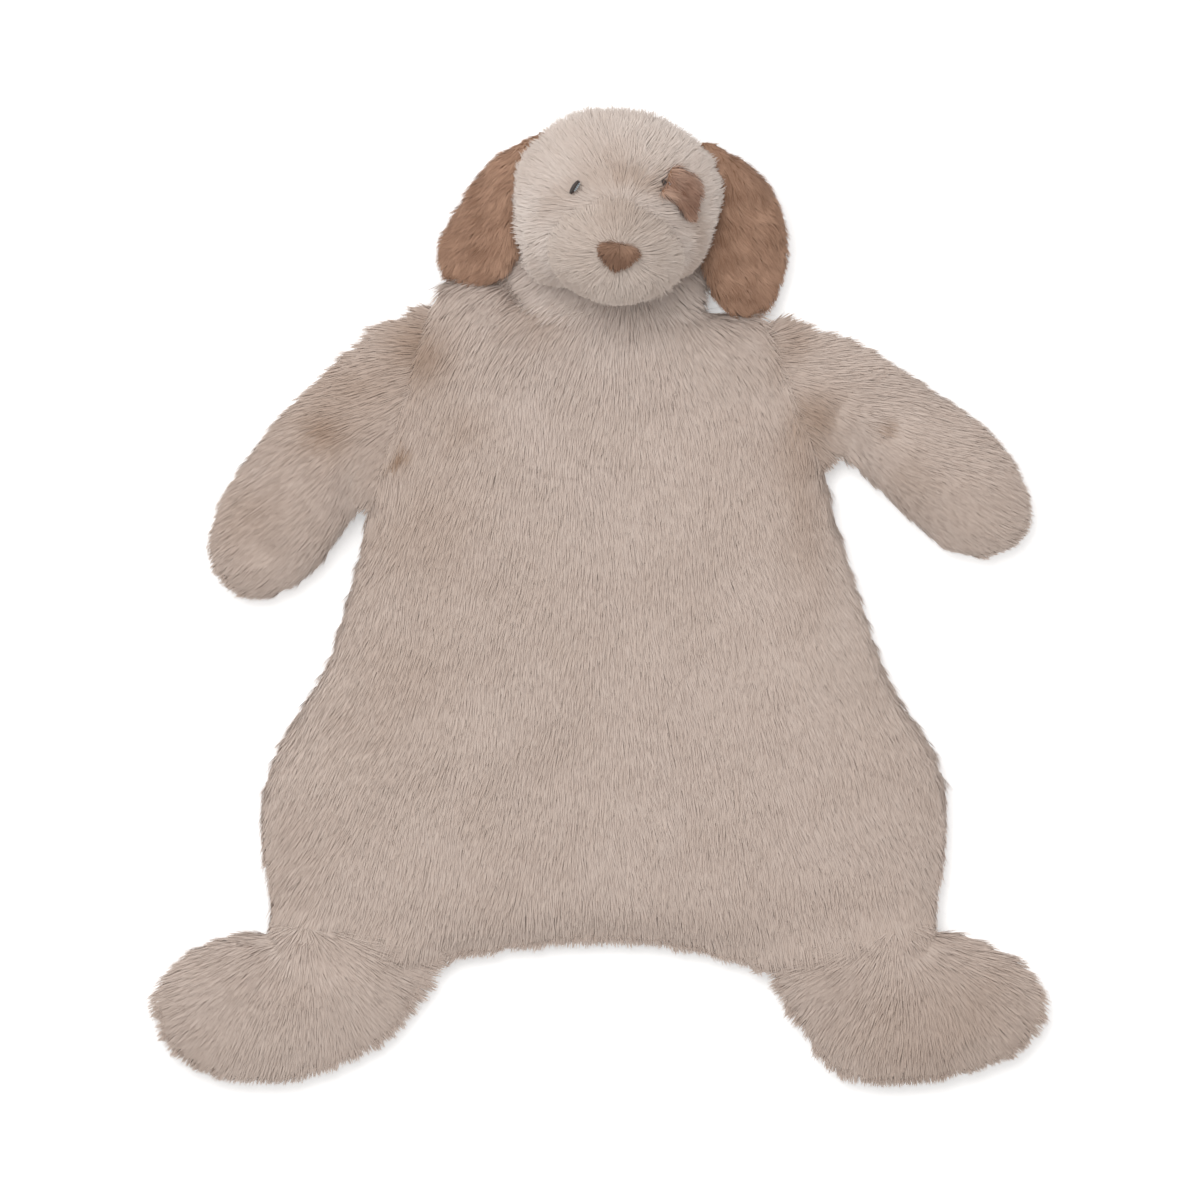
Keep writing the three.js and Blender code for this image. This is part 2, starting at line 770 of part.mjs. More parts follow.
function headSweep() {
  const reach = Math.max(headHalfWidth, headHalfDepth) + sewnGap;
  const height = headHalfHeight + sewnGap;
  const profile = headRowShares.map(([along, width]) => new THREE.Vector2(
    width * reach,
    (2 * along - 1) * height,
  ));
  const closed = [new THREE.Vector2(0, -height), ...profile, new THREE.Vector2(0, height)];
  return new THREE.LatheGeometry(closed, sweepSides).translate(...headGroup.position);
}

function neckSleeve() {
  const rows = neckRowShares.map(([along, width, fullness]) => {
    const y = bodyLength + foldGap / 2 + along * neckLength;
    return {
      left: new THREE.Vector3(headSideways - width * neckRightHalfWidth, y, 0),
      right: new THREE.Vector3(headSideways + width * neckLeftHalfWidth, y, 0),
      fullness,
    };
  });
  const across = acrossBoth(limbAcrossShares);
  const sleeve = solidOf(stuffedForm(rows, across, limbSquareness, neckFrontSwell, backSwell));
  const neckFold = new THREE.Matrix4().makeRotationZ(Math.PI / 2).setPosition(0, bodyLength, 0);
  const trimmed = sleeve
    .subtract(solidOf(placed(foldCutter(-1), neckFold)))
    .subtract(solidOf(headSweep()));
  return pressedFlat(trimmed, -seamHeight);
}

bodyGroup.add(meshOf('neck_sleeve', neckSleeve(), cloth(bodyColour)));

// Ears: two plush layers each, sewn to the side of the head along the upper part of their inner
// edge. In an ear's frame X runs down the ear, Y out or in, and Z through it to the front.
// The root is trimmed by the head at each angle that the ear flaps through.

function ear(name, side, rootAngle, hang, outlineShares) {
  const root = new THREE.Vector3(
    side * headHalfWidth * Math.cos(rootAngle),
    headHalfHeight * Math.sin(rootAngle),
    earRootHeight,
  );
  const down = new THREE.Vector3(
    side * headHalfWidth * Math.sin(rootAngle),
    -headHalfHeight * Math.cos(rootAngle),
    0,
  ).normalize();
  const out = new THREE.Vector3(-down.y * side, down.x * side, 0);
  root.addScaledVector(out, earRootGap);
  const upright = new THREE.Vector3(0, 0, 1);
  const length = down.clone().multiplyScalar(Math.cos(hang));
  length.addScaledVector(upright, -Math.sin(hang));
  const normal = upright.clone().multiplyScalar(Math.cos(hang));
  normal.addScaledVector(down, Math.sin(hang));
  const width = out.clone().multiplyScalar(side);
  const frame = new THREE.Matrix4().makeBasis(length, width, normal);
  frame.multiply(new THREE.Matrix4().makeRotationX(-side * earSideSlope));
  frame.setPosition(root);

  const shape = limbShape(outlineShares, earLength, earWidth, side, 0);
  const rows = outsideRows(shape, limbRowCount, 1 / limbRowCount);
  let flap = solidOf(stuffedForm(
    rows, acrossBoth(limbAcrossShares), earSquareness, earSwell, earSwell,
    { first: shape(0).left, last: shape(1).left },
  ));
  const headInEar = placed(headForm(sewnGap), frame.clone().invert());
  for (let step = 0; step <= earFlapSteps; step += 1) {
    const lifted = -earFlapDown + (earFlapUp + earFlapDown) * (step / earFlapSteps);
    const turn = new THREE.Matrix4().makeRotationX(-side * lifted);
    flap = flap.subtract(solidOf(placed(headInEar, turn)));
  }
  const [outer, lining] = frontAndBack(flap);
  const group = new THREE.Group();
  group.applyMatrix4(frame);
  group.add(
    meshOf(`${name}_ear_outer`, outer, cloth(earColour)),
    meshOf(`${name}_ear_lining`, lining, cloth(earColour)),
  );
  return group;
}

headGroup.add(
  ear('left', 1, leftEarRootAngle, leftEarHang, leftEarShares),
  ear('right', -1, rightEarRootAngle, rightEarHang, rightEarShares),
);

// The toy's origin is under the middle of its outline

const toy = new THREE.Group();
toy.add(bodyGroup);
toy.updateMatrixWorld(true);
const middle = new THREE.Box3().setFromObject(toy, true).getCenter(new THREE.Vector3());
bodyGroup.position.x -= middle.x;
bodyGroup.position.y -= middle.y;

export default toy;
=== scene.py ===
import json

import bmesh
import bpy
import numpy as np
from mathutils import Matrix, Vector


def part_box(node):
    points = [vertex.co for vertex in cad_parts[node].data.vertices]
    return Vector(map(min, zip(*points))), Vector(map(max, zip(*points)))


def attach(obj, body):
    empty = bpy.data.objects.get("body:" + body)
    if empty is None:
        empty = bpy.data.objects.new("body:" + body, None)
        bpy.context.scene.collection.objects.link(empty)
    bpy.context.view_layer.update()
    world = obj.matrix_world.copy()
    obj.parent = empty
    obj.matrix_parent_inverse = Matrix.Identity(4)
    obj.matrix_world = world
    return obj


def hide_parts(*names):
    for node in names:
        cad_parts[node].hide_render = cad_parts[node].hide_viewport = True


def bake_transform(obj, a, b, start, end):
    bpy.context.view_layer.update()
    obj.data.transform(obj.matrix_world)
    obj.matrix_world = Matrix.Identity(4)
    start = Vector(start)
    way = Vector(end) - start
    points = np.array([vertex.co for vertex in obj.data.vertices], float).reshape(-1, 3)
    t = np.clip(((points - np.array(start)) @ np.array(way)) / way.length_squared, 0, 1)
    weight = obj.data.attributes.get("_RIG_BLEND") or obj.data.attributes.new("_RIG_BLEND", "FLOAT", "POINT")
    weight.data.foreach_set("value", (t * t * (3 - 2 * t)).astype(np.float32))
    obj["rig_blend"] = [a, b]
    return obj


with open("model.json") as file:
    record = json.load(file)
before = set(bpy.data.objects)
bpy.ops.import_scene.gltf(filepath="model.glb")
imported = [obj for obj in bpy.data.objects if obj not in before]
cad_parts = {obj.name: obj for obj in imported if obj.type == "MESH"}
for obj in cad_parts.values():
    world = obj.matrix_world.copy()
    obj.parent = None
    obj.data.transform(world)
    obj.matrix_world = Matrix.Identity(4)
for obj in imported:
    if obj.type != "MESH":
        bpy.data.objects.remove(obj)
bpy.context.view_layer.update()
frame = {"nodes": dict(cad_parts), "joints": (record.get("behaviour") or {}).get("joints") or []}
scene = bpy.context.scene

# --------------------------------------------------
# Camera. The toy lies flat on its back and is photographed from straight above with a long lens,
# head at the top of the picture, so that nothing of it looks larger for being nearer.
# --------------------------------------------------
picture_width = 0.3200
picture_middle = (0.0005, 0.0006)
sharp_height = 0.012
lens_length = 800

camera_data = bpy.data.cameras.new("Copy stand camera")
camera_data.lens = lens_length
camera = bpy.data.objects.new("Copy stand camera", camera_data)
scene.collection.objects.link(camera)
stand_height = picture_width * lens_length / camera_data.sensor_width
camera.location = (*picture_middle, sharp_height + stand_height)
camera_data.clip_start, camera_data.clip_end = stand_height * 0.1, stand_height * 10
scene.camera = camera
scene.view_settings.view_transform = "Standard"


# --------------------------------------------------
# Copy table. A plain white board under the toy, in a white tent that lights it all round, with one
# broad soft lamp above the head end, which leaves a faint shadow under the edges of the pile.
# --------------------------------------------------
def add(tree, kind, inputs=None, **settings):
    """Adds one node with its settings, and links or sets its inputs."""
    node = tree.nodes.new(kind)
    for name, value in settings.items():
        setattr(node, name, value)
    for socket, value in (inputs or {}).items():
        if isinstance(value, bpy.types.NodeSocket):
            tree.links.new(value, node.inputs[socket])
        else:
            node.inputs[socket].default_value = value
    return node


def linear(hex_colour):
    """An sRGB colour such as "C8B8AC" as the linear RGBA that a shader takes."""
    shares = [int(hex_colour[at:at + 2], 16) / 255 for at in (0, 2, 4)]
    return (*[s / 12.92 if s <= 0.04045 else ((s + 0.055) / 1.055) ** 2.4 for s in shares], 1)


def blank_material(name):
    """A new material, and its tree with nothing in it yet."""
    material = bpy.data.materials.new(name)
    material.use_nodes = True
    material.node_tree.nodes.clear()
    return material, material.node_tree


def surfaced(tree, looks):
    """Ends the tree of a material in a surface with these looks."""
    surface = add(tree, "ShaderNodeBsdfPrincipled", looks)
    add(tree, "ShaderNodeOutputMaterial", {"Surface": surface.outputs[0]})


tent_light = 0.66
lamp_power = 12
lamp_size = 0.9
lamp_place = Vector((-0.25, 0.42, 1.42))
board_half = 2.4
board_glow = 0.38

tent = bpy.data.worlds.new("White tent")
tent.use_nodes = True
background = tent.node_tree.nodes["Background"].inputs
background["Color"].default_value = linear("FFFFFF")
look = add(tent.node_tree, "ShaderNodeLightPath")
brightness = add(tent.node_tree, "ShaderNodeMapRange", {
    "Value": look.outputs["Is Camera Ray"], "To Min": tent_light, "To Max": 1.0})
tent.node_tree.links.new(brightness.outputs[0], background["Strength"])
scene.world = tent

lamp_data = bpy.data.lights.new("Soft lamp", "AREA")
lamp_data.shape, lamp_data.size, lamp_data.energy = "DISK", lamp_size, lamp_power
lamp = bpy.data.objects.new("Soft lamp", lamp_data)
lamp.location = lamp_place
lamp.rotation_euler = (-lamp_place).to_track_quat("-Z", "Y").to_euler()
scene.collection.objects.link(lamp)

# Painted board, matt white. What the camera sees directly glows a little, so that it comes out as
# white as the photographer's paper and still keeps the toy's shadow.
board_paint, paint_tree = blank_material("Matt white board")
seen = add(paint_tree, "ShaderNodeLightPath")
straight = add(paint_tree, "ShaderNodeMath", {
    0: seen.outputs["Is Camera Ray"], 1: seen.outputs["Is Glossy Ray"]}, operation="MAXIMUM")
glow = add(paint_tree, "ShaderNodeMath", {0: straight.outputs[0], 1: board_glow}, operation="MULTIPLY")
surfaced(paint_tree, {
    "Base Color": linear("F2F1F0"), "Roughness": 0.9, "Specular IOR Level": 0.1,
    "Emission Color": linear("FFFFFF"), "Emission Strength": glow.outputs[0]})

board_data = bpy.data.meshes.new("Copy board")
board_data.from_pydata([(-board_half, -board_half, 0), (board_half, -board_half, 0),
                        (board_half, board_half, 0), (-board_half, board_half, 0)], [], [(0, 1, 2, 3)])
board_data.materials.append(board_paint)
board = bpy.data.objects.new("Copy board", board_data)
scene.collection.objects.link(board)


# --------------------------------------------------
# Body. A flat unstuffed bag of long-pile rabbit plush, two panels sewn right sides together all
# round and turned. The pile is brushed down from the neck and stands out over the side seams.
# --------------------------------------------------
def settle(skin):
    """Makes what the skin's modifiers show its own mesh, and takes the modifiers off."""
    bpy.context.view_layer.update()
    shown = skin.evaluated_get(bpy.context.evaluated_depsgraph_get())
    mesh = bpy.data.meshes.new_from_object(shown)
    skin.modifiers.clear()
    skin.data = mesh


def rows_of(values, kind):
    """What a mesh keeps for each of its points, such as their places, one row each."""
    found = np.zeros(len(values) * 3, np.float32)
    values.foreach_get(kind, found)
    return found.reshape(-1, 3).astype(float)


def places(skin):
    """Where the skin's points are."""
    return rows_of(skin.data.vertices, "co")


def put(skin, where):
    """Moves the skin's points there."""
    skin.data.vertices.foreach_set("co", where.astype(np.float32).ravel())
    skin.data.update()


def outward(skin):
    """The skin's outward direction at each point."""
    return rows_of(skin.data.vertex_normals, "vector")


def unit(directions):
    """Rows of directions, each one long."""
    return directions / np.maximum(np.linalg.norm(directions, axis=-1, keepdims=True), 1e-9)


def near(where, place, reach):
    """1 at the place, fading to nothing about twice the reach away."""
    return np.exp(-(((where - np.array(place)) / reach) ** 2).sum(axis=1))


def at_rim(facing):
    """0 where the skin lies flat, 1 at its rim, where it stands upright."""
    return 1 - facing[:, 2] ** 2


def let_out(skin, amount):
    """Lets the skin out sideways at its rim, where drawing it in has narrowed it."""
    facing = outward(skin)
    put(skin, places(skin) + amount * facing * (1, 1, 0) * at_rim(facing)[:, None])


def keep_outer_shell(skin):
    """Drops what is closed inside the skin, such as the hollow of a bag."""
    shell = bmesh.new()
    shell.from_mesh(skin.data)
    left, islands = set(shell.verts), []
    while left:
        island, edge_of_it = set(), [left.pop()]
        while edge_of_it:
            point = edge_of_it.pop()
            island.add(point)
            for edge in point.link_edges:
                other = edge.other_vert(point)
                if other in left:
                    left.remove(other)
                    edge_of_it.append(other)
        islands.append(island)
    outer = max(islands, key=lambda island: max(p.co.x for p in island) - min(p.co.x for p in island))
    bmesh.ops.delete(shell, geom=[p for p in shell.verts if p not in outer], context="VERTS")
    shell.to_mesh(skin.data)
    shell.free()


def shade_smooth(skin):
    """Lets the light run over the skin's faces without an edge between them."""
    skin.data.polygons.foreach_set("use_smooth", [True] * len(skin.data.polygons))


def sewn_skin(name, nodes, mesh_size, drawn_in, smoothing, fillers=(), same_point=0.00002):
    """One closed skin round the panels of a piece: their seams are fused, and it is drawn in a little,
    to leave room for its pile."""
    panels = bmesh.new()
    for node in nodes:
        panels.from_mesh(frame["nodes"][node].data)
    for filler in fillers:
        panels.from_mesh(filler)
    bmesh.ops.remove_doubles(panels, verts=panels.verts, dist=same_point)
    skin = bpy.data.objects.new(name, bpy.data.meshes.new(name))
    panels.to_mesh(skin.data)
    panels.free()
    scene.collection.objects.link(skin)
    for finished in (False, True):
        fused = skin.modifiers.new("Fused seams", "REMESH")
        fused.mode, fused.voxel_size = "VOXEL", mesh_size
        if not finished:
            settle(skin)
            keep_outer_shell(skin)
            put(skin, places(skin) - drawn_in * outward(skin))
    eased = skin.modifiers.new("Eased", "SMOOTH")
    eased.factor, eased.iterations = 0.5, smoothing
    settle(skin)
    keep_outer_shell(skin)
    shade_smooth(skin)
    return skin


def fold_line(joint_name):
    """A sewn fold from the frame's joint: its middle, the way out from the body and the way along it."""
    joint = next(j for j in frame["joints"] if j["name"] == joint_name)
    along = np.array(joint["axis"])
    return np.array(joint["pos_m"]), np.cross((0, 0, 1), along), along


def hull_of(points):
    """The tight wrapping of some points, as a closed mesh."""
    filler = bmesh.new()
    for point in points:
        filler.verts.new(point)
    hull = bmesh.ops.convex_hull(filler, input=filler.verts)
    bmesh.ops.delete(filler, geom=list({*hull["geom_interior"], *hull["geom_unused"]}), context="VERTS")
    data = bpy.data.meshes.new("filler")
    filler.to_mesh(data)
    filler.free()
    return data


def bridge_over(nodes, joint_name, half_seam, reach):
    """A closed filler between the panels on both sides of a fold line, over its groove."""
    middle, out, along = fold_line(joint_name)
    found = []
    for node in nodes:
        points = np.array([v.co for v in frame["nodes"][node].data.vertices])
        off, beside = np.abs((points - middle) @ out), np.abs((points - middle) @ along)
        found.append(points[(off < reach) & (beside < half_seam)])
    return hull_of(np.concatenate(found))


def ease(skin, at, reach, move):
    """Moves the skin softly round a place."""
    put(skin, places(skin) + near(places(skin), at, reach)[:, None] * np.array(move))


# A flat pad's middle lies 7 mm up, and a reach of 50 mm takes in all of its thickness.
mm = 0.001
middle_height, whole_thickness = 7, 50


def ease_all(skin, rows):
    """Moves the skin softly by rows of place, reach and move, in millimetres. A row that gives no
    heights moves the whole thickness of the skin alike."""
    for row in rows:
        if len(row[0]) == 2:
            row = [(*part, height) for part, height in zip(row, (middle_height, whole_thickness, 0))]
        ease(skin, *(np.multiply(part, mm) for part in row))


def end_at(skin, joint_name, half_seam, side, overlap, depth=0.020, spare=0.004):
    """Ends the skin in a flat face just past the fold line, inside its neighbour."""
    middle, out, along = fold_line(joint_name)
    where = places(skin)
    off = side * ((where - middle) @ out) + overlap
    past = (off < 0) & (off > -depth) & (np.abs((where - middle) @ along) < half_seam + spare)
    put(skin, where - side * (off * past)[:, None] * out)
    return past


coat_notes = ("comb", "pile", "lift", "tone", "thick")


def brush(skin, comb, pile=1.0, lift=1.0, tone=0.5, thick=1.0):
    """Notes on the skin which way its pile is brushed, how long and how upright it is, how pale and
    how thick."""
    count = len(skin.data.vertices)
    way = skin.data.attributes.new("comb", "FLOAT_VECTOR", "POINT")
    way.data.foreach_set("vector", unit(comb).astype(np.float32).ravel())
    for note, value in zip(coat_notes[1:], (pile, lift, tone, thick)):
        noted = skin.data.attributes.new(note, "FLOAT", "POINT")
        noted.data.foreach_set("value", (np.zeros(count) + value).astype(np.float32))


def work_steps(name, inputs, result):
    """A tree of geometry nodes with named inputs and one result, and those inputs to link from."""
    tree = bpy.data.node_groups.new(name, "GeometryNodeTree")
    for label, kind in inputs:
        tree.interface.new_socket(label, in_out="INPUT", socket_type="NodeSocket" + kind)
    tree.interface.new_socket(result, in_out="OUTPUT", socket_type="NodeSocketGeometry")
    return tree, add(tree, "NodeGroupInput").outputs


def work(piece, tree, wanted):
    """Runs a piece through such a tree with the values wanted, and keeps what comes out."""
    steps = piece.modifiers.new(tree.name, "NODES")
    steps.node_group = tree
    for item in tree.interface.items_tree:
        if item.in_out == "INPUT" and item.name in wanted:
            steps[item.identifier] = wanted.pop(item.name)
    if wanted:
        raise ValueError(f"{tree.name} takes no such values: {sorted(wanted)}")
    settle(piece)


# The pile tree plants strands over a skin, bends each one down the way that the skin is brushed,
# gathers neighbouring tips into locks, and lays what would go through the table flat on it.
pile_sizes = ("Pile density", "Strand length", "Strand width", "Root lift", "Tip lift", "Stray",
              "Lock size", "Lock pull", "Lock stray", "Tone spread", "Lock tone", "Nap size", "Nap tone",
              "Nap stray")
pile_tree, given = work_steps("Brushed pile", [
    ("Skin", "Geometry"), *[(size, "Float") for size in pile_sizes], ("Seed", "Int"), ("Yarn", "Material")],
    result="Pile")
# How the strands vary, taper, turn, lie on the table and catch the light, and their share of the map.
length_spread, usual_length = 0.25, 0.95
narrower_at_tip = -0.75
edge_turn = 0.2
table_layer, above_table = 0.0002, 0.0004
lock_shine = 0.5
map_share_across, map_share_along, map_margin = 0.003, 0.96, 0.02


def grown(kind, inputs=None, **settings):
    """A node of the pile tree, by its first output."""
    return add(pile_tree, kind, inputs, **settings).outputs[0]


def sum_of(operation, *terms):
    """A vector sum, product or the like in the pile tree."""
    return grown("ShaderNodeVectorMath", dict(enumerate(terms)), operation=operation)


def times(vector, amount):
    """A vector scaled by a number in the pile tree."""
    return grown("ShaderNodeVectorMath", {"Vector": vector, "Scale": amount}, operation="SCALE")


def figure(operation, *terms):
    """A sum on numbers in the pile tree."""
    return grown("ShaderNodeMath", dict(enumerate(terms)), operation=operation)


def noted_on(geometry, vectors):
    """Notes named vectors on a geometry of the pile tree, and gives back it and the notes."""
    kept = add(pile_tree, "GeometryNodeCaptureAttribute", {"Geometry": geometry})
    for name, vector in vectors.items():
        kept.capture_items.new("VECTOR", name)
        pile_tree.links.new(vector, kept.inputs[name])
    return kept.outputs["Geometry"], [kept.outputs[name] for name in vectors]


def parts_of(vector):
    """The X, Y and Z of a vector in the pile tree."""
    return add(pile_tree, "ShaderNodeSeparateXYZ", {0: vector}).outputs


comb, pile, lift, tone, thick = [
    grown("GeometryNodeInputNamedAttribute", {"Name": note},
          data_type="FLOAT_VECTOR" if note == "comb" else "FLOAT") for note in coat_notes]
planted = add(pile_tree, "GeometryNodeDistributePointsOnFaces", {
    "Mesh": given["Skin"], "Density": figure("MULTIPLY", thick, given["Pile density"]),
    "Seed": given["Seed"]})
place = grown("GeometryNodeInputPosition")
chance = grown("FunctionNodeRandomValue", {0: (-1, -1, -1), 1: (1, 1, 1), "Seed": given["Seed"]},
               data_type="FLOAT_VECTOR")
lock = add(pile_tree, "ShaderNodeTexVoronoi", {
    "Vector": place, "Scale": figure("DIVIDE", 1.0, given["Lock size"])}, voronoi_dimensions="3D")
nap = add(pile_tree, "ShaderNodeTexNoise", {
    "Vector": place, "Scale": figure("DIVIDE", 1.0, given["Nap size"]), "Detail": 2.0})
roots, (root, out, chance, lock_middle, lock_chance, nap) = noted_on(planted.outputs["Points"], {
    "Root": place, "Out": planted.outputs["Normal"], "Chance": chance,
    "Lock middle": lock.outputs["Position"], "Lock chance": lock.outputs["Color"],
    "Nap": nap.outputs["Color"]})

blank = grown("GeometryNodeMeshGrid", {"Size X": 2.0, "Size Y": 1.0, "Vertices X": 2, "Vertices Y": 3})
blank, (on_blank,) = noted_on(blank, {"Blank": place})
across = parts_of(on_blank)["X"]
along = figure("ADD", parts_of(on_blank)["Y"], 0.5)
along_squared = figure("MULTIPLY", along, along)

strands = grown("GeometryNodeRealizeInstances", {"Geometry": grown("GeometryNodeInstanceOnPoints", {
    "Points": roots, "Instance": blank})})


def flat_on_skin(way):
    """The part of a direction that lies along the skin."""
    return sum_of("SUBTRACT", way, sum_of("PROJECT", way, out))


lay = sum_of("NORMALIZE", flat_on_skin(comb))
lock_way = times(sum_of("SUBTRACT", lock_chance, (0.5, 0.5, 0.5)), given["Lock stray"])
nap_way = times(sum_of("SUBTRACT", nap, (0.5, 0.5, 0.5)), given["Nap stray"])
wander = sum_of("ADD", times(chance, given["Stray"]), flat_on_skin(sum_of("ADD", lock_way, nap_way)))
start, end = [
    sum_of("NORMALIZE", sum_of("ADD", sum_of("ADD", lay, wander), times(
        out, figure("MULTIPLY", lift, given[upright])))) for upright in ("Root lift", "Tip lift")]
bend = sum_of("ADD", times(start, along), times(
    sum_of("SUBTRACT", end, start), figure("MULTIPLY", along_squared, 0.5)))
chances, lock_chances = parts_of(chance), parts_of(lock_chance)
length = figure("MULTIPLY", figure("MULTIPLY", pile, given["Strand length"]),
                figure("MULTIPLY_ADD", chances["Y"], length_spread, usual_length))
gather = times(sum_of("SUBTRACT", lock_middle, root),
               figure("MULTIPLY", along_squared, given["Lock pull"]))
edge = sum_of("NORMALIZE", sum_of("CROSS_PRODUCT", start, sum_of("ADD", out, times(chance, edge_turn))))
half_width = figure("MULTIPLY", figure("MULTIPLY", given["Strand width"], 0.5),
                    figure("MULTIPLY_ADD", along_squared, narrower_at_tip, 1.0))
strand = sum_of("ADD", sum_of("ADD", root, times(bend, length)),
                sum_of("ADD", gather, times(edge, figure("MULTIPLY", across, half_width))))
on_table = parts_of(strand)
flattened = grown("ShaderNodeCombineXYZ", {0: on_table["X"], 1: on_table["Y"], 2: figure(
    "MAXIMUM", on_table["Z"], figure("MULTIPLY_ADD", chances["Z"], table_layer, above_table))})
brushed = grown("GeometryNodeSetPosition", {"Geometry": strands, "Position": flattened})
nap_shade = figure("MULTIPLY_ADD", figure("SUBTRACT", parts_of(nap)["X"], 0.5), given["Nap tone"], tone)
lock_shade = figure("MULTIPLY", figure("SUBTRACT", lock_chances["X"], 0.5), given["Lock tone"])
shade = figure("ADD", nap_shade, figure(
    "ADD", figure("MULTIPLY", chances["X"], given["Tone spread"]), lock_shade))
on_map = grown("ShaderNodeClamp", {"Value": shade, "Min": map_margin, "Max": 1 - map_margin})
strand_map = grown("ShaderNodeCombineXYZ", {
    0: figure("MULTIPLY_ADD", across, map_share_across, on_map),
    1: figure("MULTIPLY_ADD", along, map_share_along, map_margin)})
mapped = grown("GeometryNodeStoreNamedAttribute", {
    "Geometry": brushed, "Name": "OFBake", "Value": strand_map}, data_type="FLOAT2", domain="CORNER")
facing_kept = grown("GeometryNodeStoreNamedAttribute", {
    "Geometry": mapped, "Name": "facing", "Value": sum_of("ADD", out, times(lock_way, lock_shine))},
    data_type="FLOAT_VECTOR", domain="POINT")
coloured = grown("GeometryNodeSetMaterial", {"Geometry": grown("GeometryNodeSetShadeSmooth", {
    "Geometry": facing_kept}), "Material": given["Yarn"]})
add(pile_tree, "NodeGroupOutput", {"Pile": coloured})


def grow(skin, name, yarn, seed, **sizes):
    """The pile of a skin, as plain strands in a mesh of its own. A strand takes the light as the skin
    under it does, because each stands for many finer hairs that lie all ways round it."""
    coat = bpy.data.objects.new(name, skin.data.copy())
    scene.collection.objects.link(coat)
    named = {key.replace("_", " ").capitalize(): size for key, size in sizes.items()}
    work(coat, pile_tree, {"Seed": seed, "Yarn": yarn, **named})
    facing = rows_of(coat.data.attributes["facing"].data, "vector")
    coat.data.normals_split_custom_set_from_vertices(unit(facing.astype(np.float32)))
    for spare in [a.name for a in coat.data.attributes if a.name in (*coat_notes, "facing")]:
        coat.data.attributes.remove(coat.data.attributes[spare])
    return coat


def dyed(tree, share, *ends):
    """A colour that runs from the first of two colours to the second as a share goes from 0 to 1."""
    dye = add(tree, "ShaderNodeValToRGB", {0: share})
    for mark, colour in zip(dye.color_ramp.elements, ends):
        mark.color = colour
    return dye.outputs[0]


def plush(name, deep, pale, root_shade):
    """Dyed polyester pile, soft and matt: its tone goes from deep to pale over the map's width, and each
    strand is shaded towards its root, where the pile is thick and little light gets in."""
    yarn, tree = blank_material(name)
    strand_place = add(tree, "ShaderNodeUVMap", uv_map="OFBake").outputs[0]
    on_strand = add(tree, "ShaderNodeSeparateXYZ", {0: strand_place})
    dye = dyed(tree, on_strand.outputs["X"], linear(deep), linear(pale))
    shade = add(tree, "ShaderNodeMapRange", {
        "Value": on_strand.outputs["Y"], "From Max": 0.8, "To Min": root_shade, "To Max": 1.0})
    shaded = add(tree, "ShaderNodeMix", {0: 1.0, 6: dye, 7: shade.outputs[0]},
                 data_type="RGBA", blend_type="MULTIPLY")
    surfaced(tree, {"Base Color": shaded.outputs[2], "Roughness": 0.8, "Specular IOR Level": 0.2,
                    "Sheen Weight": 0.15, "Sheen Roughness": 0.5})
    return yarn


def backing(name, dark, light, loop_size=0.0011, drift_size=0.012, loop_depth=0.0004):
    """Knitted polyester backing: fine loops 1.1 mm apart, drawn as coarse as they need to show, which give
    the gaps between the strands a soft broken dark. Its colours are set deeper than the pile's, as painted
    shade down among the roots."""
    knit, tree = blank_material(name)
    place = add(tree, "ShaderNodeTexCoord").outputs["Object"]
    loops = add(tree, "ShaderNodeTexVoronoi", {"Vector": place, "Scale": 1 / loop_size})
    drift = add(tree, "ShaderNodeTexNoise", {"Vector": place, "Scale": 1 / drift_size, "Detail": 3.0})
    share = add(tree, "ShaderNodeMath", {
        0: loops.outputs["Distance"], 1: 0.6, 2: drift.outputs[0]}, operation="MULTIPLY_ADD")
    dye = dyed(tree, share.outputs[0], linear(light), linear(dark))
    relief = add(tree, "ShaderNodeBump", {
        "Height": loops.outputs["Distance"], "Strength": 0.5, "Distance": loop_depth})
    surfaced(tree, {"Base Color": dye, "Roughness": 0.9, "Specular IOR Level": 0.15,
                    "Normal": relief.outputs[0]})
    return knit


# Rabbit pile shows a warm greyish beige, with a little painted shade at its roots, over a knit set a shade
# deeper as painted shade among them.
body_yarn = plush("Body plush, beige rabbit pile", "A28671", "EADED6", 0.95)
body_knit = backing("Body backing, beige knit", "B39E90", "CDBBAE")

body_panels = ["body_front_panel", "body_back_panel"]
neck_middle = np.array((0.0060, 0.0950, 0.0070))
neck_seam, neck_reach, limb_reach = 0.0240, 0.0130, 0.0105
limb_seams = {"left_arm": 0.0225, "right_arm": 0.0305, "left_foot": 0.0255, "right_foot": 0.0260}
bridges = {
    limb: bridge_over([*body_panels, limb + "_front_panel", limb + "_back_panel"], limb + "_fold",
                      half_seam, limb_reach) for limb, half_seam in limb_seams.items()}
bridges["neck"] = bridge_over([*body_panels, "neck_sleeve"], "neck_nod", neck_seam, neck_reach)

# The outline as it lies in the photo: shoulders up, neck nipped in, hem up, sides in or out.
right_shoulder = [((-31, 79), (12, 8), (0, 7)), ((-47, 77.2), (10.5, 9), (-0.4, 4.6)),
                  ((-59, 73), (15, 12), (-1, 2))]
left_shoulder = [((45.5, 74.5), (5.5, 7), (0, 2.6))]
neck_nip = [((30, 79), (6, 6), (-3, -1))]
beside_neck = [((34, 74), (5, 5), (0, 1.8))]
hem = [((30, -92), (18, 8), (0, 1)), ((-6, -90), (33, 8), (0, 1.8)), ((-29, -94), (12, 8), (0, 2.2))]
sides = [((-63, 15), (8, 18), (1.2, 0)), ((61, 27), (8, 12), (-1.4, 0)), ((87, -48), (12, 30), (0.8, 0))]

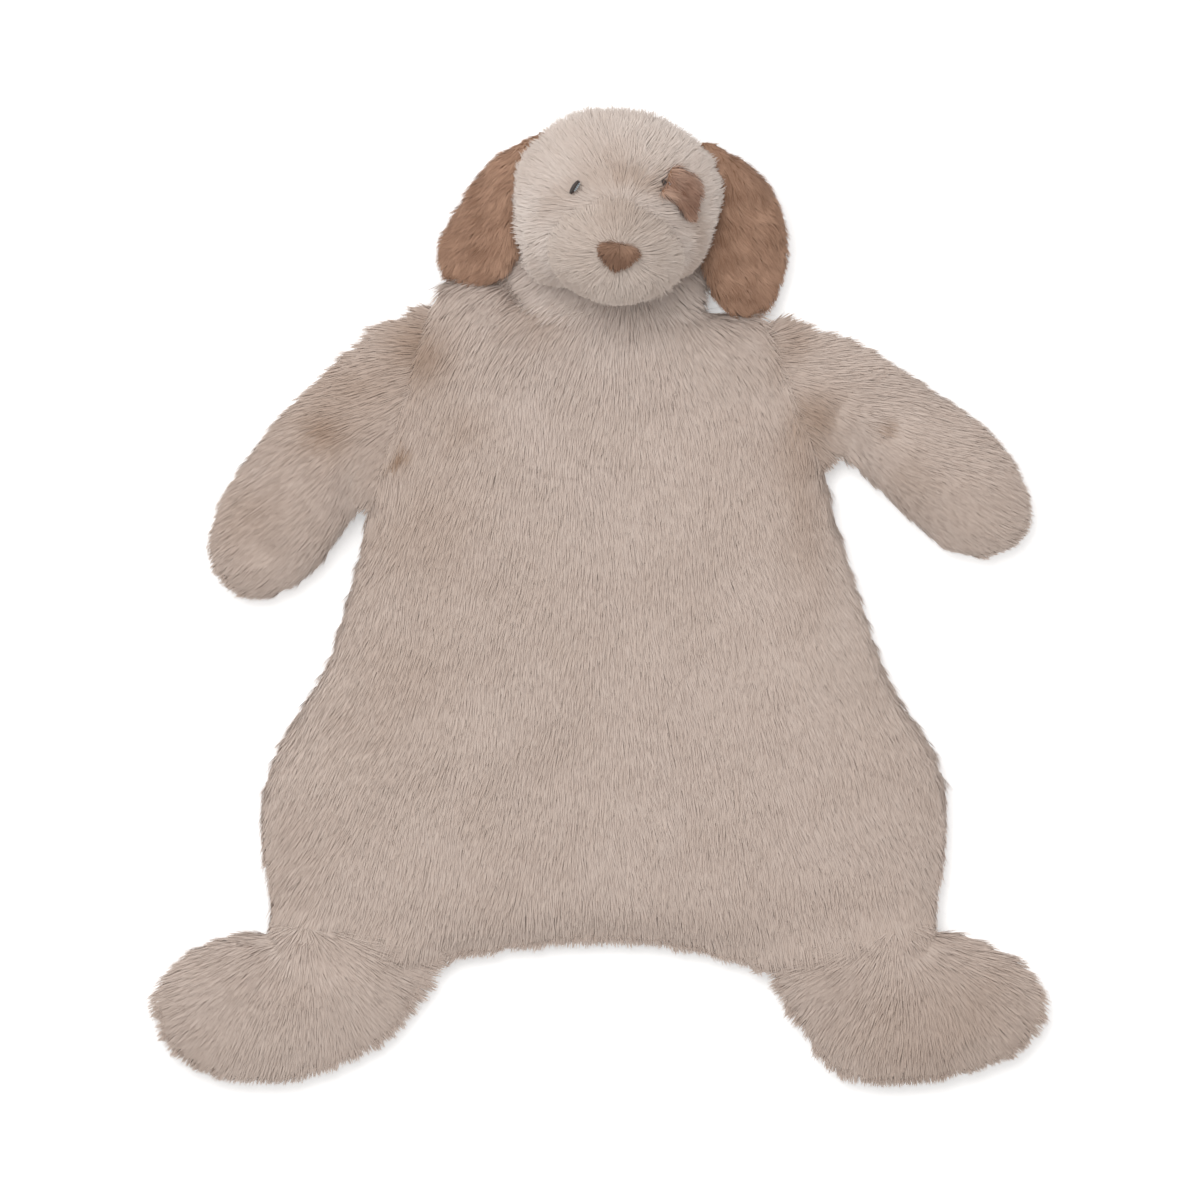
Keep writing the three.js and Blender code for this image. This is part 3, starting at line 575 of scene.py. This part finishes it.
body = sewn_skin("body_plush", body_panels, mesh_size=0.0022, drawn_in=0.0018, smoothing=6,
                 fillers=bridges.values())
let_out(body, amount=0.0037)
ease_all(body, [*right_shoulder, *left_shoulder, *neck_nip, *beside_neck, *hem, *sides])
at_seam = end_at(body, "neck_nod", neck_seam, side=-1, overlap=0.0)
for limb, half_seam in limb_seams.items():
    at_seam |= end_at(body, limb + "_fold", half_seam, side=-1, overlap=0.0)

# Where the pile is painted darker or paler: painted shade in the dents and folds of the arms, down one side
# of the body and over the feet, and painted light on the chest under the head, against the head's shadow.
# Place and reach in millimetres, and the change of tone.
painted_light_and_shade_spots = [
    ((-45, 20), 16, -0.10), ((-50, -15), 14, -0.08), ((0, 85), 22, 0.16), ((0, 55), 30, 0.04),
    ((-13, 78), 8, -0.22), ((-45, 68), 8, -0.34), ((-35, 49), (8, 6), -0.14), ((-58, 58), (11, 7), -0.14),
    ((-70, 50), (20, 14), -0.11), ((-70, 45), (6.5, 5.5), -0.22), ((-91, 23), (9, 8), -0.13),
    ((-80, 30), 30, -0.06), ((-50.8, 41.2), (1.2, 1.8), -0.90), ((-53.3, 38.5), (1.1, 1.2), -0.50),
    ((49, 67), 5, -0.20), ((55, 50.7), 6, -0.28), ((52, 40), 9, -0.14), ((74.2, 46), 2.2, -0.34),
    ((80, 33), 6, -0.12), ((54, 20), (7, 18), -0.12), ((100, -105), 20, -0.08), ((80, -120), 20, -0.08)]


def spotted(where, spots):
    """How much paler or darker the spots leave the pile at each point."""
    return sum(change * near(where[:, :2] / mm, at, reach) for at, reach, change in spots)


# The plush is painted paler at its rim, as painted light on the upright sides, which the lamp above lights
# less.
usual_tone, painted_light_at_rim = 0.5, 0.12
held_by_seam = 0.35
lies_under = -0.3
pressed_lift = 0.3
body_thin_under, limb_thin_under = 0.25, 0.3


def tone_with_painted_light(where, facing):
    """How pale the body plush is at each point, with painted light at its rim and the painted light and
    shade of the spots.
    """
    return usual_tone + painted_light_at_rim * at_rim(facing) + spotted(where, painted_light_and_shade_spots)


def shorter_at_rim(facing):
    """Pile length where the skin turns over at its edge: the seam holds the pile down there."""
    return 1 - held_by_seam * at_rim(facing)


def fanned(sideways):
    """A brushing straight down that fans out to the sides."""
    return np.column_stack([sideways, np.full(len(sideways), -1.0), np.zeros(len(sideways))])


neck_spread = 0.045
body_fan, neck_fan = 5.0, 60
where, facing = places(body), outward(body)
from_neck = (where - neck_middle) * (1, 1, 0)
around_neck = np.exp(-(np.linalg.norm(from_neck, axis=1, keepdims=True) / neck_spread) ** 2)
downward = fanned(where[:, 0] * body_fan)
body_comb = around_neck * unit(from_neck) + (1 - around_neck) * unit(downward)
under = facing[:, 2] < lies_under
ruff = near(where[:, :2], (0.004, 0.072), (0.042, 0.016))
brush(body, body_comb, pile=(1 + 0.25 * ruff) * shorter_at_rim(facing),
      lift=np.where(under, pressed_lift, 1.0 + 0.8 * ruff), tone=tone_with_painted_light(where, facing))
body.data.materials.append(body_knit)

# The body's pile is grown in four bands, from top to bottom, whose edges fade into each other.
body_strands = dict(
    pile_density=5.9e6, strand_length=0.0058, strand_width=0.00032, root_lift=0.30,
    tip_lift=0.06, stray=0.10, lock_size=0.0042, lock_pull=0.05, lock_stray=0.09, tone_spread=0.03,
    lock_tone=0.02, nap_size=0.020, nap_tone=0.16, nap_stray=0.9)
body_bands = {"chest_pile": (0.100, 0.021), "waist_pile": (0.021, -0.021),
              "belly_pile": (-0.021, -0.058), "hip_pile": (-0.058, -0.110)}
band_fade = 0.006
body_piles = []
for seed, (band, (top, bottom)) in enumerate(body_bands.items(), 11):
    below_top = np.clip(0.5 + (top - where[:, 1]) / band_fade, 0, 1)
    above_bottom = np.clip(0.5 + (where[:, 1] - bottom) / band_fade, 0, 1)
    band_thick = below_top * above_bottom * np.where(under, body_thin_under, 1.0) * ~at_seam
    body.data.attributes["thick"].data.foreach_set("value", band_thick.astype(np.float32))
    body_piles.append(grow(body, band, body_yarn, seed, **body_strands))
for piece in (body, *body_piles):
    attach(piece, "torso")
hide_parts("body_front_panel", "body_back_panel")


# --------------------------------------------------
# Arms and feet. Four flat pads of the same plush, lightly filled with polyester fibre and sewn to
# the body along a fold line, so that each flops to the front or the back. Pile brushed outwards.
# --------------------------------------------------
def stuff(skin, swell, pressure=4, moments=20):
    """Rounds the skin as its filling does. No point moves further than the swell."""
    before = places(skin)
    stuffing = skin.modifiers.new("Stuffing", "CLOTH")
    stuffing.settings.use_pressure = True
    stuffing.settings.uniform_pressure_force = pressure
    stuffing.settings.effector_weights.gravity = 0
    stuffing.point_cache.frame_start, stuffing.point_cache.frame_end = 1, moments
    for moment in range(1, moments + 1):
        scene.frame_set(moment)
    settle(skin)
    scene.frame_set(1)
    moved = places(skin) - before
    far = np.linalg.norm(moved, axis=1, keepdims=True)
    put(skin, before + moved * np.minimum(1, swell / np.maximum(far, 1e-9)))


def subdivided(skin):
    """Halves the skin's faces once, so that it curves smoothly."""
    finer = skin.modifiers.new("Finer", "SUBSURF")
    finer.levels = finer.render_levels = 1
    settle(skin)
    shade_smooth(skin)


def dent(skin, at, reach, depth):
    """Presses the skin in round a place, as where fingers have left the stuffing thin."""
    put(skin, places(skin) - depth * near(places(skin), at, reach)[:, None] * outward(skin))


# Each limb: how far its pad shifts and where its outline is eased to lie as in the photo, where it is
# dented, and the place that its pile is brushed away from. All in millimetres.
limbs = {
    "left_arm": dict(
        shift=(-0.4, 0.4, 0), brushed_from=(25, 68, 7),
        eases=[*left_shoulder, ((55, 74), (5, 6), (0, -1.2)), ((81.1, 24.9), (15, 15), (-0.6, -1.4)),
               ((97, 12.4), (10, 10), (0, -0.8))],
        dents=[((55, 50.7, 16), 3, 1.4), ((49, 67, 16), 3, 1.2), ((77, 44.7, 18), 3.5, 2)]),
    "right_arm": dict(
        shift=(1, -0.4, 0), brushed_from=(-25, 70, 7),
        eases=[*right_shoulder, ((-50, 76), (12, 8), (-0.4, 0.4)), ((-90, 40), (15, 20), (-0.6, 0.5)),
               ((-70.4, 17), (10, 12), (1, -0.8)), ((-101, 4.6), (8, 8), (0.6, 0.6))],
        dents=[((-46.5, 65.3, 16), 3.5, 1.6), ((-53.7, 53.9, 16), 3.5, 1.8), ((-72.4, 42.5, 18), 4, 1.8),
               ((-87.8, 13.2, 16), 4.5, 1.6), ((-65.5, 57, 18), 2.2, 1.2), ((-62.5, 52, 18), 2.2, 1.4),
               ((-60, 46.5, 18), 2.2, 1.2)]),
    "left_foot": dict(
        shift=(-0.4, 2.2, 0), brushed_from=(80, -85, 7),
        eases=[((94, -90.5), (8, 6), (0, 1.6)), ((104, -95), (15, 6), (0, 0.6)),
               ((115.5, -118.9), (15, 15), (0.6, -0.8)), ((59, -120), (12, 12), (-1, -0.6))],
        dents=[]),
    "right_foot": dict(
        shift=(0.6, 2.2, 0), brushed_from=(-78, -85, 7),
        eases=[((-92, -90.5), (8, 6), (0, 1.6)), ((-105, -97), (15, 8), (-0.6, 1.8)),
               ((-109.5, -123), (12, 12), (-0.6, -0.6)), ((-55, -116), (12, 12), (0.6, -0.6))],
        dents=[])}
shoulder_corners, corner_reach = ((0.0540, 0.0770), (-0.0520, 0.0800)), (0.0090, 0.0060)
seam_tuck = 0.0030
never_nothing = (0, 0, 1e-6)

for seed, (limb, cut) in enumerate(limbs.items(), 21):
    panels = [limb + part for part in ("_front_panel", "_back_panel", "_filling")]
    pad = sewn_skin(limb + "_plush", panels, mesh_size=0.0026, drawn_in=0.0030, smoothing=4,
                    fillers=[bridges[limb]])
    stuff(pad, swell=0.0018)
    let_out(pad, amount=0.0045)
    put(pad, places(pad) + np.multiply(cut["shift"], mm))
    ease_all(pad, cut["eases"])
    for at, reach, depth in cut["dents"]:
        dent(pad, np.multiply(at, mm), reach * mm, depth * mm)
    subdivided(pad)
    tucked = end_at(pad, limb + "_fold", limb_seams[limb], side=1, overlap=seam_tuck)
    where, facing = places(pad), outward(pad)
    middle, out_of_body, _ = fold_line(limb + "_fold")
    under = facing[:, 2] < lies_under
    at_corner = sum(near(where[:, :2], corner, corner_reach) for corner in shoulder_corners)
    limb_comb = (where - np.multiply(cut["brushed_from"], mm)) * (1, 1, 0) + never_nothing
    brush(pad, limb_comb, pile=shorter_at_rim(facing) * (1 - 0.45 * at_corner),
          lift=np.where(under, pressed_lift, 1.0), thick=np.where(under, limb_thin_under, 1.0) * ~tucked,
          tone=tone_with_painted_light(where, facing))
    pad.data.materials.append(body_knit)
    pad_pile = grow(pad, limb + "_pile", body_yarn, seed, **dict(body_strands, strand_length=0.0054))
    for piece in (pad, pad_pile):
        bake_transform(piece, "torso", limb, middle - 0.002 * out_of_body, middle + 0.014 * out_of_body)
    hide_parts(*[limb + part for part in ("_front_panel", "_back_panel", "_filling")])


# --------------------------------------------------
# Neck. A short flat sleeve of body plush between the body's top seam and the head, which lets the
# head nod; only a little of it shows under the chin and the cheeks.
# --------------------------------------------------
neck = sewn_skin("neck_plush", ["neck_sleeve"], mesh_size=0.0018, drawn_in=0.0012, smoothing=4,
                 fillers=[bridges["neck"]])
let_out(neck, amount=0.0026)
ease_all(neck, [*neck_nip, ((-20, 89), (8, 9), (-5.8, 3.6)), ((-13, 91, 13), (13, 8, 10), (0, 0, 4.5)),
                ((23, 90, 13), (10, 8, 10), (0, 0, 2.5)), ((26, 90), (8, 6), (2.2, 1))])
tucked = end_at(neck, "neck_nod", neck_seam + 0.010, side=1, overlap=seam_tuck)
where, facing = places(neck), outward(neck)
neck_fold, _, _ = fold_line("neck_nod")
# The neck's pile is painted paler than the body's, as painted light against the shadow that the head casts
# on it.
brush(neck, fanned((where[:, 0] - neck_middle[0]) * neck_fan), tone=0.68, thick=~tucked * 1.0,
      lift=np.where(facing[:, 2] < lies_under, pressed_lift, 1.8))
neck.data.materials.append(body_knit)
neck_pile = grow(neck, "neck_pile", body_yarn, seed=31, **dict(body_strands, strand_length=0.0064))
for piece in (neck, neck_pile):
    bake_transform(piece, "torso", "neck", neck_fold + (0, -0.001, 0), neck_fold + (0, 0.010, 0))
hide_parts("neck_sleeve")


# --------------------------------------------------
# Head. A firmly filled ball of paler plush, sewn from a forehead, two cheeks and a back panel, its
# pile brushed up and away from the bridge of the nose, so that it meets the muzzle in a soft furrow.
# --------------------------------------------------
# The head's pile is paler and less red than the body's, with a little more painted shade at its roots.
head_yarn = plush("Head plush, pale beige pile", "BFAB9D", "EFE4DC", 0.94)
head_knit = backing("Head backing, pale knit", "C4B1A4", "DCCBBF")
head_panels = ["forehead_panel", "left_cheek_panel", "right_cheek_panel", "head_back_panel",
               "head_filling"]
bridge = np.array((0.0055, 0.1030, 0.0450))
muzzle_middle = np.array((0.0050, 0.0920, 0.0380))
ball_middle = np.array((0.0058, 0.1062, 0.0235))
nape = np.array((0.0058, 0.0850, 0.0080))
eye_spots = {side: np.array(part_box(side + "_eye")).mean(axis=0) for side in ("left", "right")}

head = sewn_skin("head_plush", head_panels, mesh_size=0.0026, drawn_in=0.0026, smoothing=4)
stuff(head, swell=0.0014)
let_out(head, amount=0.0015)
# Cheeks and jowls out, crown up on one side and down on the other.
head_reach = (10, 10, 20)
ease_all(head, [(at, head_reach, move) for at, move in (
    ((-16.5, 112, 24), (-2.4, 0.8, 0)), ((29, 112, 24), (1.3, 0.6, 0)), ((-8, 126, 24), (-0.8, 0.9, 0)),
    ((20, 125, 24), (-0.5, -0.6, 0)), ((-16, 95, 20), (-2.4, -1.4, 0)), ((-11, 87, 20), (-2.6, -3.4, 0)),
    ((23, 87, 20), (2, -2.6, 0)))])
subdivided(head)

# Where the head's pile is shorter, longer, paler or darker, or missing, all as the photo shows it: it is
# painted darker as shade in the groove round the muzzle, and painted paler as light on its rim and on one
# cheek.
where, facing = places(head), outward(head)
under_muzzle = near(where, (0.0050, 0.0900, 0.0430), 0.0115) > 0.4
round_eye = near(where, eye_spots["right"], 0.0028)
by_patch = near(where, (0.0150, 0.1090, 0.0440), (0.0040, 0.0070, 0.0100))
under_bridge = near(where, (0.0055, 0.1060, 0.0440), (0.0110, 0.0034, 0.0080))
jowl = near(where, (-0.0130, 0.0880, 0.0250), (0.0080, 0.0060, 0.0120))
from_muzzle = np.linalg.norm((where - muzzle_middle) / (0.0190, 0.0170, 0.0190), axis=1)
painted_furrow_shade = near(from_muzzle[:, None], 1.08, 0.13) * (0.22 + 0.22 * (where[:, 0] > muzzle_middle[0]))
brow_shade = near(where, (0.0035, 0.1130, 0.0430), (0.0070, 0.0040, 0.0100))
painted_light_on_cheek = near(where, (-0.0150, 0.0990, 0.0300), (0.0060, 0.0100, 0.0150))
at_back = np.clip((0.024 - where[:, 2:]) / 0.014, 0, 1)
head_comb = unit(where - bridge + never_nothing) + 1.6 * at_back * unit(nape - where)
brush(head, head_comb, lift=np.where(facing[:, 2] < -0.7, 0.4, 1.0 + 1.7 * by_patch),
      pile=1 - 0.5 * round_eye - 0.4 * under_bridge + 0.45 * by_patch + 0.5 * jowl,
      tone=usual_tone - painted_furrow_shade - 0.16 * brow_shade + painted_light_at_rim * at_rim(facing) + 0.3 * painted_light_on_cheek,
      thick=~under_muzzle * 1.0)
head.data.materials.append(head_knit)
head_strands = dict(
    pile_density=7.4e6, strand_length=0.0050, strand_width=0.00025, root_lift=0.42,
    tip_lift=0.08, stray=0.15, lock_size=0.0030, lock_pull=0.14, lock_stray=0.35, tone_spread=0.06,
    lock_tone=0.05, nap_size=0.009, nap_tone=0.4, nap_stray=1.6)
head_pile = grow(head, "head_pile", head_yarn, seed=41, **head_strands)
for piece in (head, head_pile):
    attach(piece, "head")
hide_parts(*head_panels)


# --------------------------------------------------
# Muzzle. A rounded cap of the same pale plush, filled and sewn to the front of the head, its pile
# brushed away from the nose on all sides.
# --------------------------------------------------
# The muzzle's pile is the head's, a shade browner.
muzzle_yarn = plush("Muzzle plush, pale beige pile", "B49F90", "E0D3C9", 0.94)
nose_middle = np.array(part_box("nose")).mean(axis=0)
muzzle_back, muzzle_shift = (0, 0, 0.030), (-0.0011, -0.0003, 0)
muzzle_cap = (0.0205, 0.0175, 0.0205)
muzzle = sewn_skin("muzzle_plush", ["muzzle_panel", "head_filling"], mesh_size=0.0022, drawn_in=0.0022,
                   smoothing=4)
front_half = bmesh.new()
front_half.from_mesh(muzzle.data)
rim = bmesh.ops.bisect_plane(front_half, geom=[*front_half.verts, *front_half.edges, *front_half.faces],
                             plane_co=muzzle_back, plane_no=(0, 0, 1), clear_inner=True)["geom_cut"]
bmesh.ops.contextual_create(front_half, geom=[e for e in rim if isinstance(e, bmesh.types.BMEdge)])
front_half.to_mesh(muzzle.data)
front_half.free()
put(muzzle, places(muzzle) + muzzle_shift)
stuff(muzzle, swell=0.0012)
let_out(muzzle, amount=0.0013)
# Chin down, the toy's left side out, and the top run out onto the bridge.
ease_all(muzzle, [((19, 84, 40), (8, 8, 12), (1.8, -1.4, 0)), ((6, 80, 40), (10, 5, 12), (0, -1.4, 0)),
                  ((21.5, 93.5, 40), (6, 8, 12), (1.4, 0, 0)), ((5.5, 105, 43), (11, 5, 10), (0, 2.6, 0))])
subdivided(muzzle)

# The muzzle's pile, which stops where the cap runs into the head and parts round the nose.
where = places(muzzle)
off_middle = (where - muzzle_middle) / muzzle_cap
from_middle = np.linalg.norm(off_middle, axis=1)
in_head = from_middle > 1
to_left = np.clip(0.35 + 0.65 * off_middle[:, 0], 0, 1)
not_on_top = np.clip(1.3 - 1.6 * off_middle[:, 1], 0, 1)
rim_shade = near(from_middle[:, None], 1.0, 0.16) * to_left * not_on_top
bridge_shade = near(where, (0.0058, 0.1005, 0.0520), (0.0070, 0.0070, 0.0080))
top_share = np.clip((where[:, 1] - 0.1000) / 0.0050, 0, 1)
down_share = np.clip((nose_middle[1] - where[:, 1:2]) / 0.012, 0, 1)
under_nose = near(where, nose_middle, 0.0042)
round_nose = near(where, nose_middle + (0, 0.002, 0), 0.0075)
over_nose = near(where, nose_middle + (0.0012, 0.0046, 0), (0.0036, 0.0016, 0.0040))[:, None]
from_nose = unit(where - nose_middle + never_nothing)
muzzle_comb = (from_nose * (1, 1, 0.6) + 0.7 * down_share * (0, -1, -0.4) + (0, 0.1, -0.1)
               + 2.2 * over_nose * (0.2, -1, 0.3))
# Its tone is painted darker at its rim, as shade in the groove round the cap, and painted paler on the chin
# below the nose, as light on a face turned away from the lamp.
brush(muzzle, muzzle_comb, pile=1 - 0.3 * under_nose + 0.25 * top_share,
      lift=1 + 1.4 * top_share + 1.2 * round_nose,
      tone=0.63 - 0.32 * bridge_shade + 0.1 * down_share[:, 0] - 0.3 * rim_shade,
      thick=(1 - 0.7 * under_nose) * ~in_head)
muzzle.data.materials.append(head_knit)
muzzle_pile = grow(muzzle, "muzzle_pile", muzzle_yarn, seed=42, **dict(
    head_strands, pile_density=9.0e6, strand_length=0.0046, strand_width=0.00023,
    nap_stray=1.8))
for piece in (muzzle, muzzle_pile):
    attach(piece, "head")
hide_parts("muzzle_panel")


# --------------------------------------------------
# Ears. Two long flat leaves of brown short-pile plush, each an outer and a lining sewn together and
# caught into the side of the head at the top, so that they hang and flap from that root.
# --------------------------------------------------
# The ears' short pile is a warm brown that changes with the way each patch of nap lies.
ear_yarn = plush("Ear plush, brown short pile", "825E48", "C6A087", 0.92)
ear_knit = backing("Ear backing, brown knit", "87664F", "A37F69")
# Each ear: its bend and the lie of its tip, in millimetres, its usual tone and where it is painted darker,
# as shade in its fold and along its inner edge by the head.
ears = {
    "left_ear": dict(tone=0.54, painted_shades=[((32, 95), (3.5, 15), -0.20)],
                     eases=[((31, 90, 12), (5, 7, 20), (-2.6, 0, 0)),
                            ((30, 119, 22), (6, 5.5, 20), (-3.4, 2, 0)),
                            ((39, 80, 10), (12, 9, 30), (-3.4, -0.7, 0))]),
    "right_ear": dict(tone=0.66, painted_shades=[((-29, 97), (5, 6), -0.22), ((-19, 100), (3, 15), -0.16)],
                      eases=[((-17, 120, 22), (6, 5.5, 20), (4, 1.8, 0))])}
root_reach, root_depth = 0.0105, 0.0045
for seed, (side, cut) in enumerate(ears.items(), 51):
    root_place, _, _ = fold_line(side + "_flap")
    leaf = np.array([v.co for v in frame["nodes"][side + "_outer"].data.vertices])
    caught_in = leaf[np.linalg.norm(leaf - root_place, axis=1) < root_reach]
    caught_in = np.concatenate([caught_in, caught_in + root_depth * unit(ball_middle - root_place)])
    ear = sewn_skin(side + "_plush", [side + "_outer", side + "_lining"], mesh_size=0.0015, drawn_in=0.0006,
                    smoothing=3, fillers=[hull_of(caught_in)])
    let_out(ear, amount=0.0011)
    ear_length = unit(places(ear).mean(axis=0) - root_place)
    ease_all(ear, cut["eases"])
    where = places(ear)
    root_share = np.clip((where - root_place) @ ear_length / 0.010, 0, 1)
    brush(ear, where * 0 + ear_length, pile=(0.45 + 0.55 * root_share) * shorter_at_rim(outward(ear)),
          tone=cut["tone"] + spotted(where, cut["painted_shades"]))
    ear.data.materials.append(ear_knit)
    ear_pile = grow(ear, side + "_pile", ear_yarn, seed, **dict(
        head_strands, strand_length=0.0040, root_lift=0.6, tip_lift=0.1, pile_density=7.5e6,
        nap_tone=1.0, lock_tone=0.25, tone_spread=0.14, nap_size=0.007))
    for piece in (ear, ear_pile):
        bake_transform(piece, "head", side, root_place - 0.001 * ear_length, root_place + 0.007 * ear_length)
    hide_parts(side + "_outer", side + "_lining")


# --------------------------------------------------
# Eye patch. A small five-sided piece of brown short-pile plush, laid flat on the face at the toy's
# left eye and sewn down round its edge.
# --------------------------------------------------
# The patch is of the ears' plush, a shade redder, its nap brushed down and outwards.
patch_yarn = plush("Patch plush, brown short pile", "86604D", "D2B09B", 0.92)
patch_sunk, patch_nap = 0.0006, (0.5, -0.7, -0.3)
patch = sewn_skin("eye_patch_plush", ["eye_patch"], mesh_size=0.0009, drawn_in=0.0002, smoothing=2)
put(patch, places(patch) - patch_sunk * unit(places(patch) - ball_middle))
where = places(patch)
brush(patch, where * 0 + patch_nap, tone=0.36 + np.clip((0.0195 - where[:, 0]) / 0.010, 0, 0.3))
patch.data.materials.append(ear_knit)
patch_pile = grow(patch, "eye_patch_pile", patch_yarn, seed=61, **dict(
    head_strands, strand_length=0.0030, pile_density=1.1e7, root_lift=0.8, nap_size=0.004,
    nap_tone=1.2, lock_tone=0.2))
for piece in (patch, patch_pile):
    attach(piece, "head")
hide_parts("eye_patch")


# --------------------------------------------------
# Nose. A rounded triangle of darker brown velour over a pinch of filling, stitched on at the front
# of the muzzle, a little askew.
# --------------------------------------------------
# Velour lies close and dark. It is painted paler towards the top and darker towards the bottom, and a
# painted sheen sits near its top, where the velour is worn flat.
nose_yarn = plush("Nose velour, dark brown", "6A4A38", "AE8B74", 0.8)
nose_knit = backing("Nose backing, dark knit", "3B2B21", "55402F")
nose_scale, nose_shift = (0.80, 0.72, 0.8), (-0.0006, 0.0002, -0.0017)
nose = sewn_skin("nose_plush", ["nose"], mesh_size=0.0007, drawn_in=0.0001, smoothing=3)
put(nose, nose_middle + (places(nose) - nose_middle) * nose_scale + nose_shift)
where = places(nose)
painted_sheen = near(where[:, :2], nose_middle[:2] + (0.0014, 0.0026), (0.0014, 0.0010))
brush(nose, where - nose_middle + (0, -0.004, 0),
      tone=0.42 + 60 * (where[:, 1] - nose_middle[1]) + 0.5 * painted_sheen)
nose.data.materials.append(nose_knit)
nose_pile = grow(nose, "nose_pile", nose_yarn, seed=62, **dict(
    head_strands, strand_length=0.0026, strand_width=0.00022, pile_density=2.2e7,
    lock_size=0.002, nap_size=0.004, nap_tone=1.0))
for piece in (nose, nose_pile):
    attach(piece, "head")
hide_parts("nose")


# --------------------------------------------------
# Eyes. Each a small oval of satin stitch, dark brown thread laid side by side over a pad of the
# same, with one pale grey-blue stitch as a catch light.
# --------------------------------------------------
def thread(name, colour, twist_size=0.0016):
    """Twisted rayon thread, glossy: each stitch catches a thin line of light, and its plies show as a fine
    slant 0.25 mm apart, with painted shade in the grooves between them."""
    twisted, tree = blank_material(name)
    place = add(tree, "ShaderNodeTexCoord").outputs["Object"]
    twist = add(tree, "ShaderNodeTexWave", {"Vector": place, "Scale": 1 / twist_size, "Distortion": 1.0},
                bands_direction="DIAGONAL")
    shade_between_plies = tuple(0.7 * c for c in linear(colour)[:3]) + (1,)
    surfaced(tree, {"Base Color": dyed(tree, twist.outputs["Fac"], shade_between_plies, linear(colour)),
                    "Roughness": 0.35, "Specular IOR Level": 0.6})
    return twisted


stitch_tree, taken = work_steps("Satin stitches", [
    ("Stitch paths", "Geometry"), ("Thread radius", "Float"), ("Thread", "Material")], result="Stitches")
path = add(stitch_tree, "GeometryNodeMeshToCurve", {"Mesh": taken["Stitch paths"]})
section = add(stitch_tree, "GeometryNodeCurvePrimitiveCircle", {
    "Resolution": 8, "Radius": taken["Thread radius"]})
sewn = add(stitch_tree, "GeometryNodeCurveToMesh", {
    "Curve": path.outputs[0], "Profile Curve": section.outputs[0], "Fill Caps": True})
sewn = add(stitch_tree, "GeometryNodeRealizeInstances", {"Geometry": sewn.outputs[0]})
sewn = add(stitch_tree, "GeometryNodeSetMaterial", {
    "Geometry": sewn.outputs[0], "Material": taken["Thread"]})
add(stitch_tree, "NodeGroupOutput", {"Stitches": sewn.outputs[0]})


def stitches(name, centre, facing, slant, half_length, half_width, rise, rows, radius, material,
             outer_row=0.92, steps=7):
    """Satin stitches side by side across an oval that faces a given way, its long axis turned by the
    slant. Each stitch is a bow that rises most in the middle of the oval."""
    facing = unit(np.array(facing, float))
    right = unit(np.cross((0, 1, 0), facing))
    up = np.cross(facing, right)
    long_way = unit(np.sin(slant) * right + np.cos(slant) * up)
    cross_way = np.cross(long_way, facing)
    points, edges = [], []
    for row in np.linspace(-outer_row, outer_row, rows):
        half = half_width * (1 - row ** 2) ** 0.5
        for step in np.linspace(-1, 1, steps):
            height = rise * (1 - 0.8 * step ** 2) * (1 - 0.5 * row ** 2)
            if step > -1:
                edges.append((len(points) - 1, len(points)))
            points.append(centre + row * half_length * long_way + step * half * cross_way + height * facing)
    data = bpy.data.meshes.new(name)
    data.from_pydata([tuple(p) for p in points], edges, [])
    row_of_thread = bpy.data.objects.new(name, data)
    scene.collection.objects.link(row_of_thread)
    work(row_of_thread, stitch_tree, {"Thread radius": radius, "Thread": material})
    return row_of_thread


# Dark thread reads as the eye, and pale thread as the light that it catches.
dark_thread = thread("Dark brown rayon thread", "453B36")
highlight_thread = thread("Pale grey-blue rayon thread, painted highlight", "A9B3B8")
# Each eye: its slant, how far it is pulled into the pile, and how far it lies aside of its place.
eyes = {"left": (-0.6, 0.0032, (0.0, 0.0, 0.0)), "right": (0.6, 0.0013, (-0.0006, -0.0006, 0.0))}
glint_rise, glint_aside = 0.0009, (0.0010, -0.0001, 0.0)
for side, (slant, sunk, aside) in eyes.items():
    looks = eye_spots[side] - ball_middle
    spot = eye_spots[side] - sunk * unit(looks) + aside
    eye = stitches(side + "_eye_stitches", spot, looks, slant, half_length=0.0020, half_width=0.0007,
                   rise=0.0011, rows=11, radius=0.00023, material=dark_thread)
    glint = stitches(side + "_eye_glint", spot + glint_rise * unit(looks) + glint_aside, looks, slant,
                     half_length=0.0012, half_width=0.0003, rise=0.0002, rows=5, radius=0.00020,
                     material=highlight_thread)
    for piece in (eye, glint):
        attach(piece, "head")
    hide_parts(side + "_eye")
